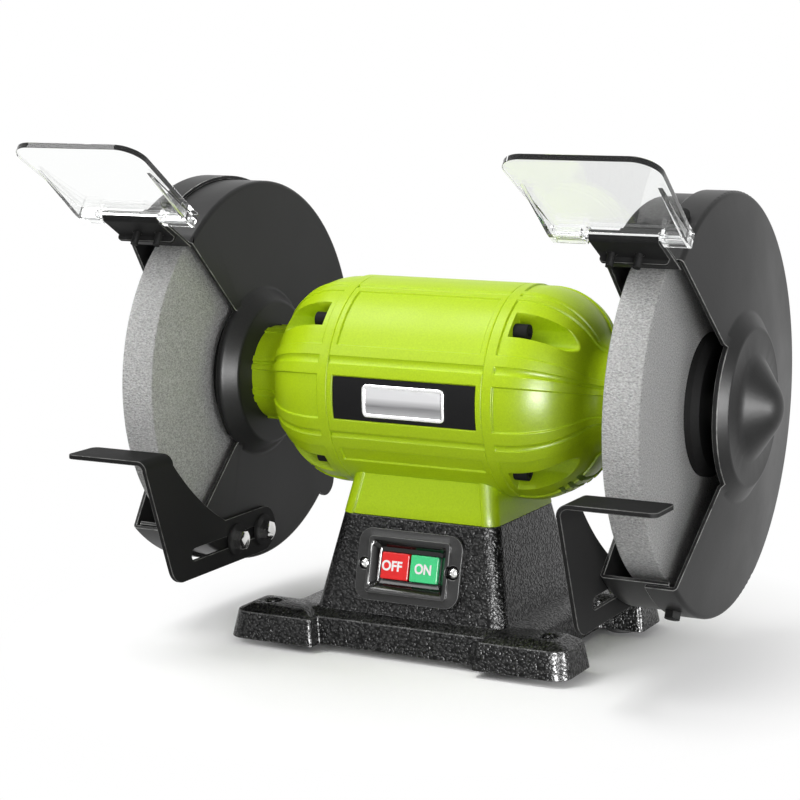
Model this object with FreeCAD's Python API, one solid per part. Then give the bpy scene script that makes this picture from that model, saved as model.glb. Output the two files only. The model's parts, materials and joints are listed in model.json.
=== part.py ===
import FreeCAD, Part
import math
import os

# Bench grinder: two abrasive wheels on one motor shaft, carried by a ribbed housing on a cast pedestal.
# +X runs along the shaft to the right wheel, -Y is the operator's side, +Z is up, z = 0 is under the feet.
# Every left-hand piece is the mirror image of its right-hand twin.

# Wheels and shaft
WHEEL_R = 100.0
WHEEL_WIDTH = 20.0
WHEEL_EDGE_BREAK = 0.8
AXIS_HEIGHT = 142.0
SPINDLE_R = 8.0
JOURNAL_R = 8.5
ROTOR_SHAFT_R = 11.0
SPINDLE_TAIL = 12.0
SPINDLE_END_BREAK = 1.5
FLANGE_R = 38.0
FLANGE_THICK = 7.0
FLANGE_RELIEF = 1.5
FLANGE_LAND = 10.0
FLANGE_HUB_R = 13.0
FLANGE_HUB_LENGTH = 5.0
NUT_HEIGHT = 10.0
NUT_ACROSS_FLATS = 24.0
RUNNING_FIT = 0.05

# Sheet-metal guard, its outer cover and the opening for the work
SHEET = 2.0
WHEEL_TO_GUARD = 8.0
WHEEL_TO_COVER = 9.5
WHEEL_TO_RIM = 7.2
RIM_FIT = 0.3
GUARD_RIM_WIDTH = 37.0
COVER_RIM_WIDTH = 17.0
BEND_R = 2.5
BOSS_DEPTH = 8.5
BOSS_FOOT_R = 48.2
BOSS_FACE_R = 40.7
BOSS_BORE_R = 14.5
COVER_RING_FOOT_R = 50.0
COVER_RING_FACE_R = 41.3
COVER_DISH = 7.75
COVER_RING_DEPTH = 13.5
DOME_R = 28.7
DOME_SHOULDER_R = 12.0
DOME_SHOULDER_HEIGHT = 11.4
NOTCH_HUB_R = 47.6
NOTCH_RIM_ANGLE = 47.0
NOTCH_HUB_ANGLE = 52.5
COVER_NOTCH_EXTRA = 0.6
LUG_R = 10.0
LUG_ANGLE = 226.0

# Motor housing and end bells
HOUSING_R = 58.5
HOUSING_WALL = 5.0
BARREL_HALF = 46.0
SEAM_BREAK = 0.5
BAND_MARGIN = 3.5
BELL_BAND = 6.0
BELL_STRAIGHT = 10.0
BELL_ROUND_R = 40.0
NECK_R = 27.5
NECK_BLEND_R = 12.0
NECK_LENGTH = 7.929
BELL_WALL = 5.0
BEARING_WALL_SETOUT = 33.0
BEARING_INSET = 4.0
NECK_BORE_R = 14.0
SPIGOT_LENGTH = 4.0
SPIGOT_WALL = 4.0
PANEL_DEPTH = 1.0
GROOVE_DEPTH = 0.8
FRONT_PANEL = (-14.0, 9.8)
SHOULDER_PANEL = (26.6, 63.9)
BARREL_LOWER_PANEL = (-41.0, -32.2)
BELL_LOWER_PANEL = (-69.0, -32.2)
TOP_PANEL = (74.0, 106.0)
UNDER_PANEL = (-103.0, -77.0)
RIB_GROOVES = ((15.9, 20.6), (-25.0, -21.3), (67.4, 70.6))
LABEL_THICK = 0.6
LABEL_MARGIN = 0.3
VENT_COUNT = 3
VENT_SETOUT = 20.6
VENT_PITCH = 4.6
VENT_WIDTH = 2.2
VENT_ANGLES = (-114.0, -66.0)

# Screws that hold the bells, each at the floor of a round pocket
BELL_SCREW_ANGLES = (46.0, -49.0, 134.0, 229.0)
BELL_SCREW_INSET = 7.5
BELL_SCREW_R = 2.5
BELL_SCREW_HEAD_R = 4.3
BELL_SCREW_HEAD = 8.0
BELL_SCREW_REACH = 8.0
POCKET_R = 11.0
POCKET_WALL = 3.5
POCKET_FLOOR = 9.5
BARREL_LUG_R = 5.5
BARREL_LUG_LENGTH = 9.5
LUG_CLEARANCE = 0.5

# Motor inside the housing and its two ball bearings
CORE_HALF = 34.0
CORE_BORE_R = 28.2
AIR_GAP = 0.5
SLOT_COUNT = 12
SLOT_WIDTH = 7.0
SLOT_DEPTH = 13.0
SLOT_LIP = 1.5
WIRE_CLEARANCE = 0.3
END_TURN_LENGTH = 7.0
END_TURN_THICK = 12.0
END_RING_LENGTH = 4.0
END_RING_THICK = 8.0
BEARING_R = 20.0
BEARING_WIDTH = 12.0
BEARING_RING = 3.0
BALL_COUNT = 8
BALL_FIT = 0.05

# Cast pedestal and base
FOOT_PAD_H = 3.7
FOOT_PAD_R = 9.2
FOOT_PAD_BREAK = 0.8
BASE_HALF_X = 101.6
BASE_HALF_Y = 73.6
BASE_EDGE_Z = 18.5
DECK_Z = 21.8
BASE_DRAFT = 2.5
DECK_SLOPE_RUN = 7.2
INNER_EDGE_RUN = 3.6
FOOT_LENGTH_X = 53.8
FOOT_LENGTH_Y = 36.1
FRONT_STEP = 9.2
SIDE_STEP = 25.3
FOOT_CORNER_R = 10.0
DECK_CORNER_R = 5.0
FOOT_REAR_R = 3.0
INSIDE_CORNER_R = 2.0
BOLT_INSET_X = 18.3
BOLT_INSET_Y = 20.4
BOLT_HOLE_R = 3.6
BOLT_SINK_R = 5.4
BOLT_SINK_DEPTH = 1.8
PEDESTAL_FOOT_HALF_X = 57.2
PEDESTAL_FOOT_HALF_Y = 53.3
PEDESTAL_TOP_HALF_X = 47.1
PEDESTAL_TOP_HALF_Y = 41.3
PEDESTAL_CORNER_R = 8.5
CAST_WALL = 5.0
CABLE_HOLE_R = 9.0
BOTTOM_PLATE_THICK = 1.6
BOTTOM_PLATE_MARGIN = 9.0
BOTTOM_PLATE_FIT = 0.3
BOTTOM_SCREW_Y = 35.0
SADDLE_HEIGHT = 10.3
SADDLE_FLOOR = 6.0
SADDLE_RECESS = 0.9
SADDLE_COLUMN = 7.8
SADDLE_TOP_DROP = 22.0
NECK_BOLT_X = 28.0
NECK_BOLT_Y = 17.0
NECK_BOLT_R = 3.0
NECK_BOLT_AF = 10.0
NECK_BOLT_HEAD = 4.0
GLAND_Z = 38.0
GLAND_R = 7.0
GLAND_BORE_R = 4.2
GLAND_FLANGE_R = 11.0
GLAND_FLANGE = 4.0
CAPACITOR_R = 14.0
CAPACITOR_LENGTH = 60.0
CAPACITOR_Y = 18.0
CAPACITOR_REST = 0.1

# Push-button switch on the sloped front face
SWITCH_X = -0.7
SWITCH_RAISE = 0.39
SWITCH_PLATE_W = 62.4
SWITCH_PLATE_H = 39.4
SWITCH_PLATE_T = 2.4
SWITCH_PLATE_R = 8.0
BEZEL_W = 48.8
BEZEL_H = 31.0
BEZEL_RISE = 1.6
BEZEL_WALL = 2.2
WELL_SLOPE = 3.4
WELL_DEPTH = 0.8
SWITCH_BODY_MARGIN = 2.0
SWITCH_BODY_DEPTH = 22.0
WINDOW_FIT = 0.6
BUTTON_W = 16.6
BUTTON_H = 14.6
BUTTON_PITCH = 17.6
BUTTON_PROUD = 1.2
BUTTON_LENGTH = 10.0
BUTTON_FIT = 0.25
BUTTON_TRAVEL = 2.5
BUTTON_EDGE_R = 1.0
SWITCH_SCREW_PITCH = 53.1
SWITCH_SCREW_R = 1.7
SWITCH_SCREW_HEAD_R = 2.7
SWITCH_SCREW_HEAD = 1.4
SWITCH_SCREW_REACH = 7.0

# Tool rest, bent from one sheet; heights below the shaft are given downwards
REST_SHEET = 2.5
REST_TOP_DROP = 32.8
REST_FRONT_Y = -126.0
REST_DEPTH = 26.5
REST_BEND_R = 6.0
REST_REACH = 51.5
REST_CORNER_R = 4.0
REST_SLOT_DROP = 92.4
REST_ARM_HALF = 13.2
REST_REAR_Y = 8.5
REST_HEEL_Y = -99.4
REST_HEEL_R = 13.0
REST_ARM_FRONT_Y = -47.0
REST_CURVE_SAG_Y = -75.8
REST_CURVE_SAG_DROP = 60.8
REST_SLOT_HALF = 3.4
REST_SLOT_FRONT_Y = -79.0
REST_BOLT_Y = (-36.0, -7.0)
REST_BOLT_R = 3.0
REST_BOLT_AF = 10.0
REST_BOLT_HEAD = 5.0
REST_WASHER_R = 9.2
REST_WASHER_THICK = 1.4
WELD_NUT_R = 6.0
WELD_NUT_H = 4.5

# Shield bracket on the guard's front flange, and the clear eye shield that tilts on its rod
FLANGE_ANGLE = 30.0
FLANGE_LENGTH = 22.0
FLANGE_ROOT = 6.0
FLANGE_SHEET = 1.5
FLANGE_SEAT = 0.3
BRACKET_SIDE_GAP = 0.8
BRACKET_FOOT = 8.5
BRACKET_LIP = 3.0
BRACKET_LIP_R = 2.0
BRACKET_SCREW_AT = 14.0
BRACKET_SCREW_PITCH = 14.2
BRACKET_SCREW_SHIFT = 3.4
BRACKET_SCREW_R = 2.1
BRACKET_SCREW_HEAD_R = 4.0
BRACKET_SCREW_HEAD = 2.4
BRACKET_SCREW_TAIL = 7.0
ROLL_AT = 26.5
ROLL_R = 3.0
ROD_R = 1.5
ROD_FIT = 0.06
ROD_END_GAP = 0.4
SHIELD_ANGLE = 31.3
SHIELD_THICK = 3.0
SHIELD_WALL = 2.4
SHIELD_LIFT = 2.1
SHIELD_FOOT = 3.6
SHIELD_LENGTH = 68.4
SHIELD_HALF_FOOT = 35.5
SHIELD_HALF_TOP = 40.1
SHIELD_SHIFT = 2.5
SHIELD_CORNER_R = 13.0
SHIELD_LIP = 2.8
EAR_GAP = 1.2
EAR_DROP = 2.8
EAR_FLOOR = 1.2
EAR_BACK = 3.2
GUSSET_TOP = 48.0

# Small fasteners
GUARD_SCREW_COUNT = 3
GUARD_SCREW_CIRCLE_R = 23.6
GUARD_SCREW_R = 2.5
GUARD_SCREW_HEAD_R = 4.2
GUARD_SCREW_HEAD = 3.0
GUARD_SCREW_REACH = 7.0
COVER_BOLT_ANGLES = (64.0, -64.0, 180.0)
COVER_BOLT_SETBACK = 11.0
COVER_BOLT_R = 2.5
COVER_BOLT_AF = 8.0
COVER_BOLT_HEAD = 4.0
BOTTOM_SCREW_R = 2.0
BOTTOM_SCREW_HEAD_R = 3.5
BOTTOM_SCREW_HEAD = 1.8
BOTTOM_SCREW_REACH = 8.0
COVER_NUT_H = 3.0
HEX_BREAK = 0.6
NUT_BREAK = 1.2
THREAD_FIT = 0.05
HOLE_FIT = 0.25
CUT_PAST = 1.0

# Sizes that follow from the ones above
V = FreeCAD.Vector
X_AXIS = V(1, 0, 0)
Y_AXIS = V(0, 1, 0)
Z_AXIS = V(0, 0, 1)
BORE_R = HOUSING_R - HOUSING_WALL
BAND_HALF = BARREL_HALF - BAND_MARGIN
BELL_BAND_END_X = BARREL_HALF + BELL_BAND
BELL_STRAIGHT_X = BARREL_HALF + BELL_STRAIGHT
BELL_ROUND_CENTRE_R = HOUSING_R - BELL_ROUND_R
BELL_SCREW_CIRCLE_R = HOUSING_R - BELL_SCREW_INSET
POCKET_FLOOR_X = BARREL_HALF + POCKET_FLOOR
BLEND_CENTRE_R = NECK_R + NECK_BLEND_R
BLEND_RISE = BLEND_CENTRE_R - BELL_ROUND_CENTRE_R
BLEND_SPAN = BELL_ROUND_R + NECK_BLEND_R
BLEND_X = BELL_STRAIGHT_X + math.sqrt(BLEND_SPAN ** 2 - BLEND_RISE ** 2)
BLEND_ANGLE = math.degrees(math.asin(BLEND_RISE / BLEND_SPAN))
NECK_END_X = BLEND_X + NECK_LENGTH
VENT_FIRST_X = BELL_STRAIGHT_X + VENT_SETOUT
BEARING_WALL_X = BELL_STRAIGHT_X + BEARING_WALL_SETOUT
BEARING_IN_X = BEARING_WALL_X + BEARING_INSET
BEARING_OUT_X = BEARING_IN_X + BEARING_WIDTH
GUARD_FACE_X = NECK_END_X + BOSS_DEPTH
GUARD_IN_X = GUARD_FACE_X + SHEET
WHEEL_IN_X = GUARD_IN_X + WHEEL_TO_GUARD
WHEEL_OUT_X = WHEEL_IN_X + WHEEL_WIDTH
COVER_IN_X = WHEEL_OUT_X + WHEEL_TO_COVER
COVER_FACE_X = COVER_IN_X + SHEET
GUARD_RIM_R = WHEEL_R + WHEEL_TO_RIM
GUARD_R = GUARD_RIM_R + SHEET
COVER_RIM_R = GUARD_R + RIM_FIT
COVER_R = COVER_RIM_R + SHEET
COVER_BOLT_X = COVER_FACE_X - COVER_BOLT_SETBACK
FLANGE_FACE_X = WHEEL_IN_X - FLANGE_THICK
SPINDLE_SHOULDER_X = FLANGE_FACE_X - FLANGE_HUB_LENGTH
OUTER_FLANGE_X = WHEEL_OUT_X + FLANGE_THICK
SPINDLE_END_X = OUTER_FLANGE_X + SPINDLE_TAIL
PEDESTAL_TOP_Z = AXIS_HEIGHT - HOUSING_R - SADDLE_HEIGHT
TAPER_X = (PEDESTAL_FOOT_HALF_X - PEDESTAL_TOP_HALF_X) / (PEDESTAL_TOP_Z - DECK_Z)
TAPER_Y = (PEDESTAL_FOOT_HALF_Y - PEDESTAL_TOP_HALF_Y) / (PEDESTAL_TOP_Z - DECK_Z)
FACE_LEAN = math.degrees(math.atan(TAPER_Y))
FACE_HEIGHT = math.hypot(PEDESTAL_TOP_Z - DECK_Z, PEDESTAL_FOOT_HALF_Y - PEDESTAL_TOP_HALF_Y)
SWITCH_UP = FACE_HEIGHT / 2 + SWITCH_RAISE
PLATE_TOP_Z = FOOT_PAD_H + BOTTOM_PLATE_THICK
REST_IN_X = GUARD_FACE_X - REST_SHEET
REST_TOP_Z = AXIS_HEIGHT - REST_TOP_DROP
REST_SLOT_Z = AXIS_HEIGHT - REST_SLOT_DROP
BRACKET_IN_X = GUARD_IN_X + BRACKET_SIDE_GAP
BRACKET_OUT_X = COVER_IN_X - BRACKET_SIDE_GAP
BRACKET_SEAT = FLANGE_SEAT + FLANGE_SHEET
BRACKET_FACE = BRACKET_SEAT + SHEET
ROLL_DEPTH = BRACKET_FACE - ROLL_R
BRACKET_MID_X = (BRACKET_IN_X + BRACKET_OUT_X) / 2
SHIELD_X = BRACKET_MID_X - SHIELD_SHIFT


# Points, outlines and simple solids

def radial(angle, x, r):
    """Point at distance r from the shaft; the angle counts from the operator's side upwards."""
    turn = math.radians(angle)
    return V(x, -r * math.cos(turn), AXIS_HEIGHT + r * math.sin(turn))


def outward(angle):
    """Unit vector that points away from the shaft at an angle."""
    turn = math.radians(angle)
    return V(0, -math.cos(turn), math.sin(turn))


def on_circle(centre, r, angle):
    """Point of a flat circle, for the arcs of an outline."""
    turn = math.radians(angle)
    return (centre[0] + r * math.cos(turn), centre[1] + r * math.sin(turn))


def outline_wire(path, place):
    """Closed wire; a step is a point for a line, or a pair (middle, end) for an arc."""
    edges = []
    here = path[0]
    for step in path[1:] + path[:1]:
        is_arc = isinstance(step[0], tuple)
        there = step[1] if is_arc else step
        start = place(*here)
        end = place(*there)
        if is_arc:
            edges.append(Part.Arc(start, place(*step[0]), end).toShape())
        elif start.distanceToPoint(end) > 1e-6:
            edges.append(Part.makeLine(start, end))
        here = there
    return Part.Wire(edges)


def round_corner(last, corner, following, radius):
    """Start, crest and end of the arc that rounds one corner of an outline."""
    tip = V(*corner, 0)
    to_last = (V(*last, 0) - tip).normalize()
    to_next = (V(*following, 0) - tip).normalize()
    half = to_last.getAngle(to_next) / 2
    start = tip + to_last * (radius / math.tan(half))
    end = tip + to_next * (radius / math.tan(half))
    crest = tip + (to_last + to_next).normalize() * (radius / math.sin(half) - radius)
    return (start.x, start.y), (crest.x, crest.y), (end.x, end.y)


def rounded(points, radii):
    """Outline path of a polygon whose corners are rounded by the given radii."""
    path = []
    for index, corner in enumerate(points):
        following = points[(index + 1) % len(points)]
        start, crest, end = round_corner(points[index - 1], corner, following, radii[index])
        path += [start, (crest, end)]
    return path


def rounded_box(half_x, half_y, radius):
    """Outline path of a rectangle with four equal round corners, about the origin."""
    corners = [(half_x, half_y), (-half_x, half_y), (-half_x, -half_y), (half_x, -half_y)]
    return rounded(corners, [radius] * 4)


def prism(path, place, direction):
    """Solid from an outline pushed along a direction."""
    return Part.Face(outline_wire(path, place)).extrude(direction)


def plan(z):
    """Places a flat outline at a height."""
    return lambda x, y: V(x, y, z)


def side(x):
    """Places an outline drawn as (y, z) in a plane square to the shaft."""
    return lambda y, z: V(x, y, z)


def lathe(path, first=0.0, sweep=360.0):
    """Solid of revolution about the shaft from an outline drawn as (x, r)."""
    face = Part.Face(outline_wire(path, lambda x, r: radial(first, x, r)))
    return face.revolve(V(0, 0, AXIS_HEIGHT), V(-1, 0, 0), sweep)


def tube(x_from, x_to, r_in, r_out):
    """Plain ring about the shaft."""
    return lathe([(x_from, r_in), (x_to, r_in), (x_to, r_out), (x_from, r_out)])


def rod(start, direction, length, r):
    """Cylinder from a point along a direction."""
    return Part.makeCylinder(r, length, start, direction)


def hexagon(start, direction, height, across_flats, break_edge):
    """Hexagonal head or nut whose far corners are turned off."""
    reach = across_flats / math.sqrt(3)
    corners = [on_circle((0, 0), reach, 60 * step) for step in range(6)]
    block = prism(corners, plan(0), Z_AXIS * height)
    turned = Part.makeCone(reach, reach - 2 * break_edge, break_edge, V(0, 0, height - break_edge))
    body = Part.makeCylinder(reach, height - break_edge)
    block = block.common(body.fuse(turned))
    block.Placement = FreeCAD.Placement(start, FreeCAD.Rotation(Z_AXIS, direction))
    return block


def fuse_all(shapes):
    """One solid from several that meet."""
    whole = shapes[0]
    for shape in shapes[1:]:
        whole = whole.fuse(shape)
    return whole.removeSplitter()


def cut_all(shape, tools):
    """A solid with several tools cut out of it."""
    for tool in tools:
        shape = shape.cut(tool)
    return shape


def mirrored(shape):
    """Left-hand twin of a right-hand piece."""
    return shape.mirror(V(0, 0, 0), X_AXIS)


# Base, pedestal and what closes it

def half_x(z):
    """Half width of the pedestal and of the saddle above it, on one common taper."""
    return PEDESTAL_TOP_HALF_X + (PEDESTAL_TOP_Z - z) * TAPER_X


def half_y(z):
    """Half depth of the pedestal and of the saddle above it, on one common taper."""
    return PEDESTAL_TOP_HALF_Y + (PEDESTAL_TOP_Z - z) * TAPER_Y


def tapered_block(z_from, z_to, wall):
    """Rounded tapering block that the pedestal, the saddle and their hollows share."""
    wires = []
    for z in (z_from, z_to):
        path = rounded_box(half_x(z) - wall, half_y(z) - wall, PEDESTAL_CORNER_R - wall / 2)
        wires.append(outline_wire(path, plan(z)))
    return Part.makeLoft(wires, True, True)


def base_plan(outer_run, inner_run, corner_r):
    """Plan of the base: four corner feet, a shallow step front and back, deep steps at the sides."""
    end_x = BASE_HALF_X - outer_run
    end_y = BASE_HALF_Y - outer_run
    foot_x = BASE_HALF_X - FOOT_LENGTH_X + outer_run
    foot_y = BASE_HALF_Y - FOOT_LENGTH_Y + inner_run
    waist_x = BASE_HALF_X - SIDE_STEP - inner_run
    waist_y = BASE_HALF_Y - FRONT_STEP - outer_run
    quarter = [(waist_x, foot_y), (end_x, foot_y), (end_x, end_y), (foot_x, end_y), (foot_x, waist_y)]
    turns = [INSIDE_CORNER_R, FOOT_REAR_R, corner_r, INSIDE_CORNER_R, INSIDE_CORNER_R / 2]
    corners = []
    radii = []
    for sign_x, sign_y in ((1, 1), (-1, 1), (-1, -1), (1, -1)):
        forward = sign_x * sign_y > 0
        order = range(5) if forward else range(4, -1, -1)
        corners += [(sign_x * quarter[i][0], sign_y * quarter[i][1]) for i in order]
        radii += [turns[i] for i in order]
    return rounded(corners, radii)


def base_layer(z_from, runs_from, z_to, runs_to):
    """Drafted layer of the base between two heights."""
    low = outline_wire(base_plan(*runs_from), plan(z_from))
    high = outline_wire(base_plan(*runs_to), plan(z_to))
    return Part.makeLoft([low, high], True, True)


def corner_points(half_a, half_b, z):
    """Four points placed as a rectangle about the origin."""
    return [V(a * half_a, b * half_b, z) for a in (-1, 1) for b in (-1, 1)]


def bench_bolt_points(z):
    return corner_points(BASE_HALF_X - BOLT_INSET_X, BASE_HALF_Y - BOLT_INSET_Y, z)


def neck_bolt_points(z):
    return corner_points(NECK_BOLT_X, NECK_BOLT_Y, z)


def bottom_screw_points(z):
    reach = half_x(FOOT_PAD_H) - CAST_WALL + BOTTOM_PLATE_MARGIN / 2
    return corner_points(reach, BOTTOM_SCREW_Y, z)


def bottom_plate_path(gap):
    """Outline of the plate that closes the pedestal, or of its recess."""
    grow = BOTTOM_PLATE_MARGIN - CAST_WALL - gap
    return rounded_box(half_x(FOOT_PAD_H) + grow, half_y(FOOT_PAD_H) + grow, PEDESTAL_CORNER_R)


def on_front_face(shape, across=SWITCH_X, up=SWITCH_UP):
    """Moves a shape drawn as (across, up the face, out of it) onto the pedestal's sloped front face."""
    lean = math.radians(FACE_LEAN)
    foot = V(across, -half_y(DECK_Z), DECK_Z) + V(0, math.sin(lean), math.cos(lean)) * up
    shape.Placement = FreeCAD.Placement(foot, FreeCAD.Rotation(X_AXIS, 90 - FACE_LEAN))
    return shape


def make_base_casting():
    foot = (0, 0, FOOT_CORNER_R)
    edge = (BASE_DRAFT, BASE_DRAFT, FOOT_CORNER_R)
    deck = (BASE_DRAFT + DECK_SLOPE_RUN, BASE_DRAFT + INNER_EDGE_RUN, DECK_CORNER_R)
    skirt = base_layer(FOOT_PAD_H, foot, BASE_EDGE_Z, edge)
    crown = base_layer(BASE_EDGE_Z, edge, DECK_Z, deck)
    pedestal = tapered_block(BASE_EDGE_Z, PEDESTAL_TOP_Z, 0)
    casting = fuse_all([skirt, crown, pedestal])
    hollow = tapered_block(FOOT_PAD_H, PEDESTAL_TOP_Z - CAST_WALL, CAST_WALL)
    recess = prism(bottom_plate_path(0), plan(FOOT_PAD_H), Z_AXIS * BOTTOM_PLATE_THICK)
    cable = rod(V(0, 0, PEDESTAL_TOP_Z), -Z_AXIS, 2 * CAST_WALL, CABLE_HOLE_R)
    tools = [hollow, recess, cable]
    for point in bench_bolt_points(FOOT_PAD_H):
        tools.append(rod(point, Z_AXIS, DECK_Z, BOLT_HOLE_R))
        sink_foot = V(point.x, point.y, DECK_Z - BOLT_SINK_DEPTH)
        tools.append(Part.makeCone(BOLT_HOLE_R, BOLT_SINK_R, BOLT_SINK_DEPTH, sink_foot))
    for point in neck_bolt_points(PEDESTAL_TOP_Z):
        tools.append(rod(point, -Z_AXIS, 2 * CAST_WALL, NECK_BOLT_R + HOLE_FIT))
    for point in bottom_screw_points(FOOT_PAD_H):
        tools.append(rod(point, Z_AXIS, BOTTOM_SCREW_REACH + THREAD_FIT, BOTTOM_SCREW_R + THREAD_FIT))
    body_w, body_h = switch_body_size()
    window = rounded_box(body_w / 2 + WINDOW_FIT, body_h / 2 + WINDOW_FIT, INSIDE_CORNER_R)
    tools.append(on_front_face(prism(window, plan(-3 * CAST_WALL), Z_AXIS * 4 * CAST_WALL)))
    for across in (-1, 1):
        centre = V(across * SWITCH_SCREW_PITCH / 2, 0, 0)
        tools.append(on_front_face(rod(centre, -Z_AXIS, SWITCH_SCREW_REACH, SWITCH_SCREW_R + THREAD_FIT)))
    tools.append(gland_rod(2 * CAST_WALL, GLAND_R + HOLE_FIT, -1.5 * CAST_WALL))
    return cut_all(casting, tools)


def make_bottom_plate():
    plate = prism(bottom_plate_path(BOTTOM_PLATE_FIT), plan(FOOT_PAD_H), Z_AXIS * BOTTOM_PLATE_THICK)
    holes = []
    for point in bottom_screw_points(FOOT_PAD_H):
        holes.append(rod(point, Z_AXIS, BOTTOM_PLATE_THICK, BOTTOM_SCREW_R + HOLE_FIT))
    return cut_all(plate, holes)


def make_bottom_plate_screws():
    screws = []
    for point in bottom_screw_points(FOOT_PAD_H):
        shank = rod(point, Z_AXIS, BOTTOM_SCREW_REACH, BOTTOM_SCREW_R)
        head = rod(point, -Z_AXIS, BOTTOM_SCREW_HEAD, BOTTOM_SCREW_HEAD_R)
        screws.append(fuse_all([shank, head]))
    return Part.makeCompound(screws)


def make_rubber_feet():
    feet = []
    for point in bench_bolt_points(0):
        tread_r = FOOT_PAD_R - FOOT_PAD_BREAK
        tread = Part.makeCone(tread_r, FOOT_PAD_R, FOOT_PAD_BREAK, point)
        pad = rod(point + Z_AXIS * FOOT_PAD_BREAK, Z_AXIS, FOOT_PAD_H - FOOT_PAD_BREAK, FOOT_PAD_R)
        foot = fuse_all([tread, pad])
        feet.append(foot.cut(rod(point, Z_AXIS, FOOT_PAD_H, BOLT_HOLE_R)))
    return Part.makeCompound(feet)


def gland_rod(length, r, start):
    """Cylinder square to the sloped rear face; start counts outwards from the face."""
    lean = math.radians(FACE_LEAN)
    out = V(0, math.cos(lean), math.sin(lean))
    return rod(V(0, half_y(GLAND_Z), GLAND_Z) + out * start, out, length, r)


def make_cord_gland():
    stem = gland_rod(CAST_WALL + GLAND_FLANGE, GLAND_R, -CAST_WALL)
    collar = gland_rod(GLAND_FLANGE, GLAND_FLANGE_R, 0)
    bore = gland_rod(2 * (CAST_WALL + GLAND_FLANGE), GLAND_BORE_R, -1.5 * CAST_WALL)
    return fuse_all([stem, collar]).cut(bore)


def make_capacitor():
    centre = V(-CAPACITOR_LENGTH / 2, CAPACITOR_Y, PLATE_TOP_Z + CAPACITOR_REST + CAPACITOR_R)
    return rod(centre, X_AXIS, CAPACITOR_LENGTH, CAPACITOR_R)


# Push-button switch

def switch_opening_size():
    """Opening at the foot of the bezel's sloped walls, around the buttons."""
    lost = 2 * (BEZEL_WALL + WELL_SLOPE)
    return BEZEL_W - lost, BEZEL_H - lost


def switch_body_size():
    wide, high = switch_opening_size()
    return wide + 2 * SWITCH_BODY_MARGIN, high + 2 * SWITCH_BODY_MARGIN


def switch_box(wide, high, radius, start, depth, across=0.0):
    """Rounded block in the switch's own frame: start is its level out of the face."""
    path = rounded_box(wide / 2, high / 2, radius)
    return prism(path, lambda x, y: V(x + across, y, start), Z_AXIS * depth)


def switch_mouth():
    """Space inside the bezel: its walls slope in from the rim to the opening around the buttons."""
    wide, high = switch_opening_size()
    deep = SWITCH_PLATE_T + BEZEL_RISE
    wires = []
    for level in (-CUT_PAST, deep + CUT_PAST):
        grow = WELL_SLOPE * level / deep
        path = rounded_box(wide / 2 + grow, high / 2 + grow, INSIDE_CORNER_R / 2)
        wires.append(outline_wire(path, plan(level)))
    return Part.makeLoft(wires, True, True)


def make_switch_plate():
    plate = switch_box(SWITCH_PLATE_W, SWITCH_PLATE_H, SWITCH_PLATE_R, 0, SWITCH_PLATE_T)
    bezel = switch_box(BEZEL_W, BEZEL_H, INSIDE_CORNER_R, 0, SWITCH_PLATE_T + BEZEL_RISE)
    tools = [switch_mouth()]
    for across in (-1, 1):
        centre = V(across * SWITCH_SCREW_PITCH / 2, 0, 0)
        tools.append(rod(centre, Z_AXIS, SWITCH_PLATE_T, SWITCH_SCREW_R + HOLE_FIT))
        seat = centre + Z_AXIS * (SWITCH_PLATE_T - SWITCH_SCREW_HEAD)
        tools.append(rod(seat, Z_AXIS, SWITCH_PLATE_T + BEZEL_RISE, SWITCH_SCREW_HEAD_R + HOLE_FIT))
    return on_front_face(cut_all(fuse_all([plate, bezel]), tools))


def make_switch_screws():
    screws = []
    for across in (-1, 1):
        seat = V(across * SWITCH_SCREW_PITCH / 2, 0, SWITCH_PLATE_T - SWITCH_SCREW_HEAD)
        shank = rod(seat, -Z_AXIS, SWITCH_SCREW_REACH, SWITCH_SCREW_R)
        head = rod(seat, Z_AXIS, SWITCH_SCREW_HEAD, SWITCH_SCREW_HEAD_R)
        screws.append(fuse_all([shank, head]))
    return on_front_face(Part.makeCompound(screws))


def make_switch_body():
    wide, high = switch_body_size()
    body = switch_box(wide, high, INSIDE_CORNER_R, -SWITCH_BODY_DEPTH, SWITCH_BODY_DEPTH)
    open_w, open_h = switch_opening_size()
    tools = [switch_box(open_w, open_h, INSIDE_CORNER_R / 2, -WELL_DEPTH, WELL_DEPTH)]
    hole_w = BUTTON_W + 2 * BUTTON_FIT
    hole_h = BUTTON_H + 2 * BUTTON_FIT
    floor = BUTTON_PROUD - BUTTON_LENGTH - BUTTON_TRAVEL - BUTTON_FIT
    for across in (-1, 1):
        tools.append(switch_box(hole_w, hole_h, BUTTON_EDGE_R, floor, -floor, across * BUTTON_PITCH / 2))
    return on_front_face(cut_all(body, tools))


def make_button(across):
    start = BUTTON_PROUD - BUTTON_LENGTH
    button = switch_box(BUTTON_W, BUTTON_H, BUTTON_EDGE_R, start, BUTTON_LENGTH, across * BUTTON_PITCH / 2)
    crown = [e for e in button.Edges if min(v.Z for v in e.Vertexes) > BUTTON_PROUD - BUTTON_FIT]
    return on_front_face(button.makeFillet(0.6 * BUTTON_EDGE_R, crown))


# Motor housing and end bells

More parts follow.
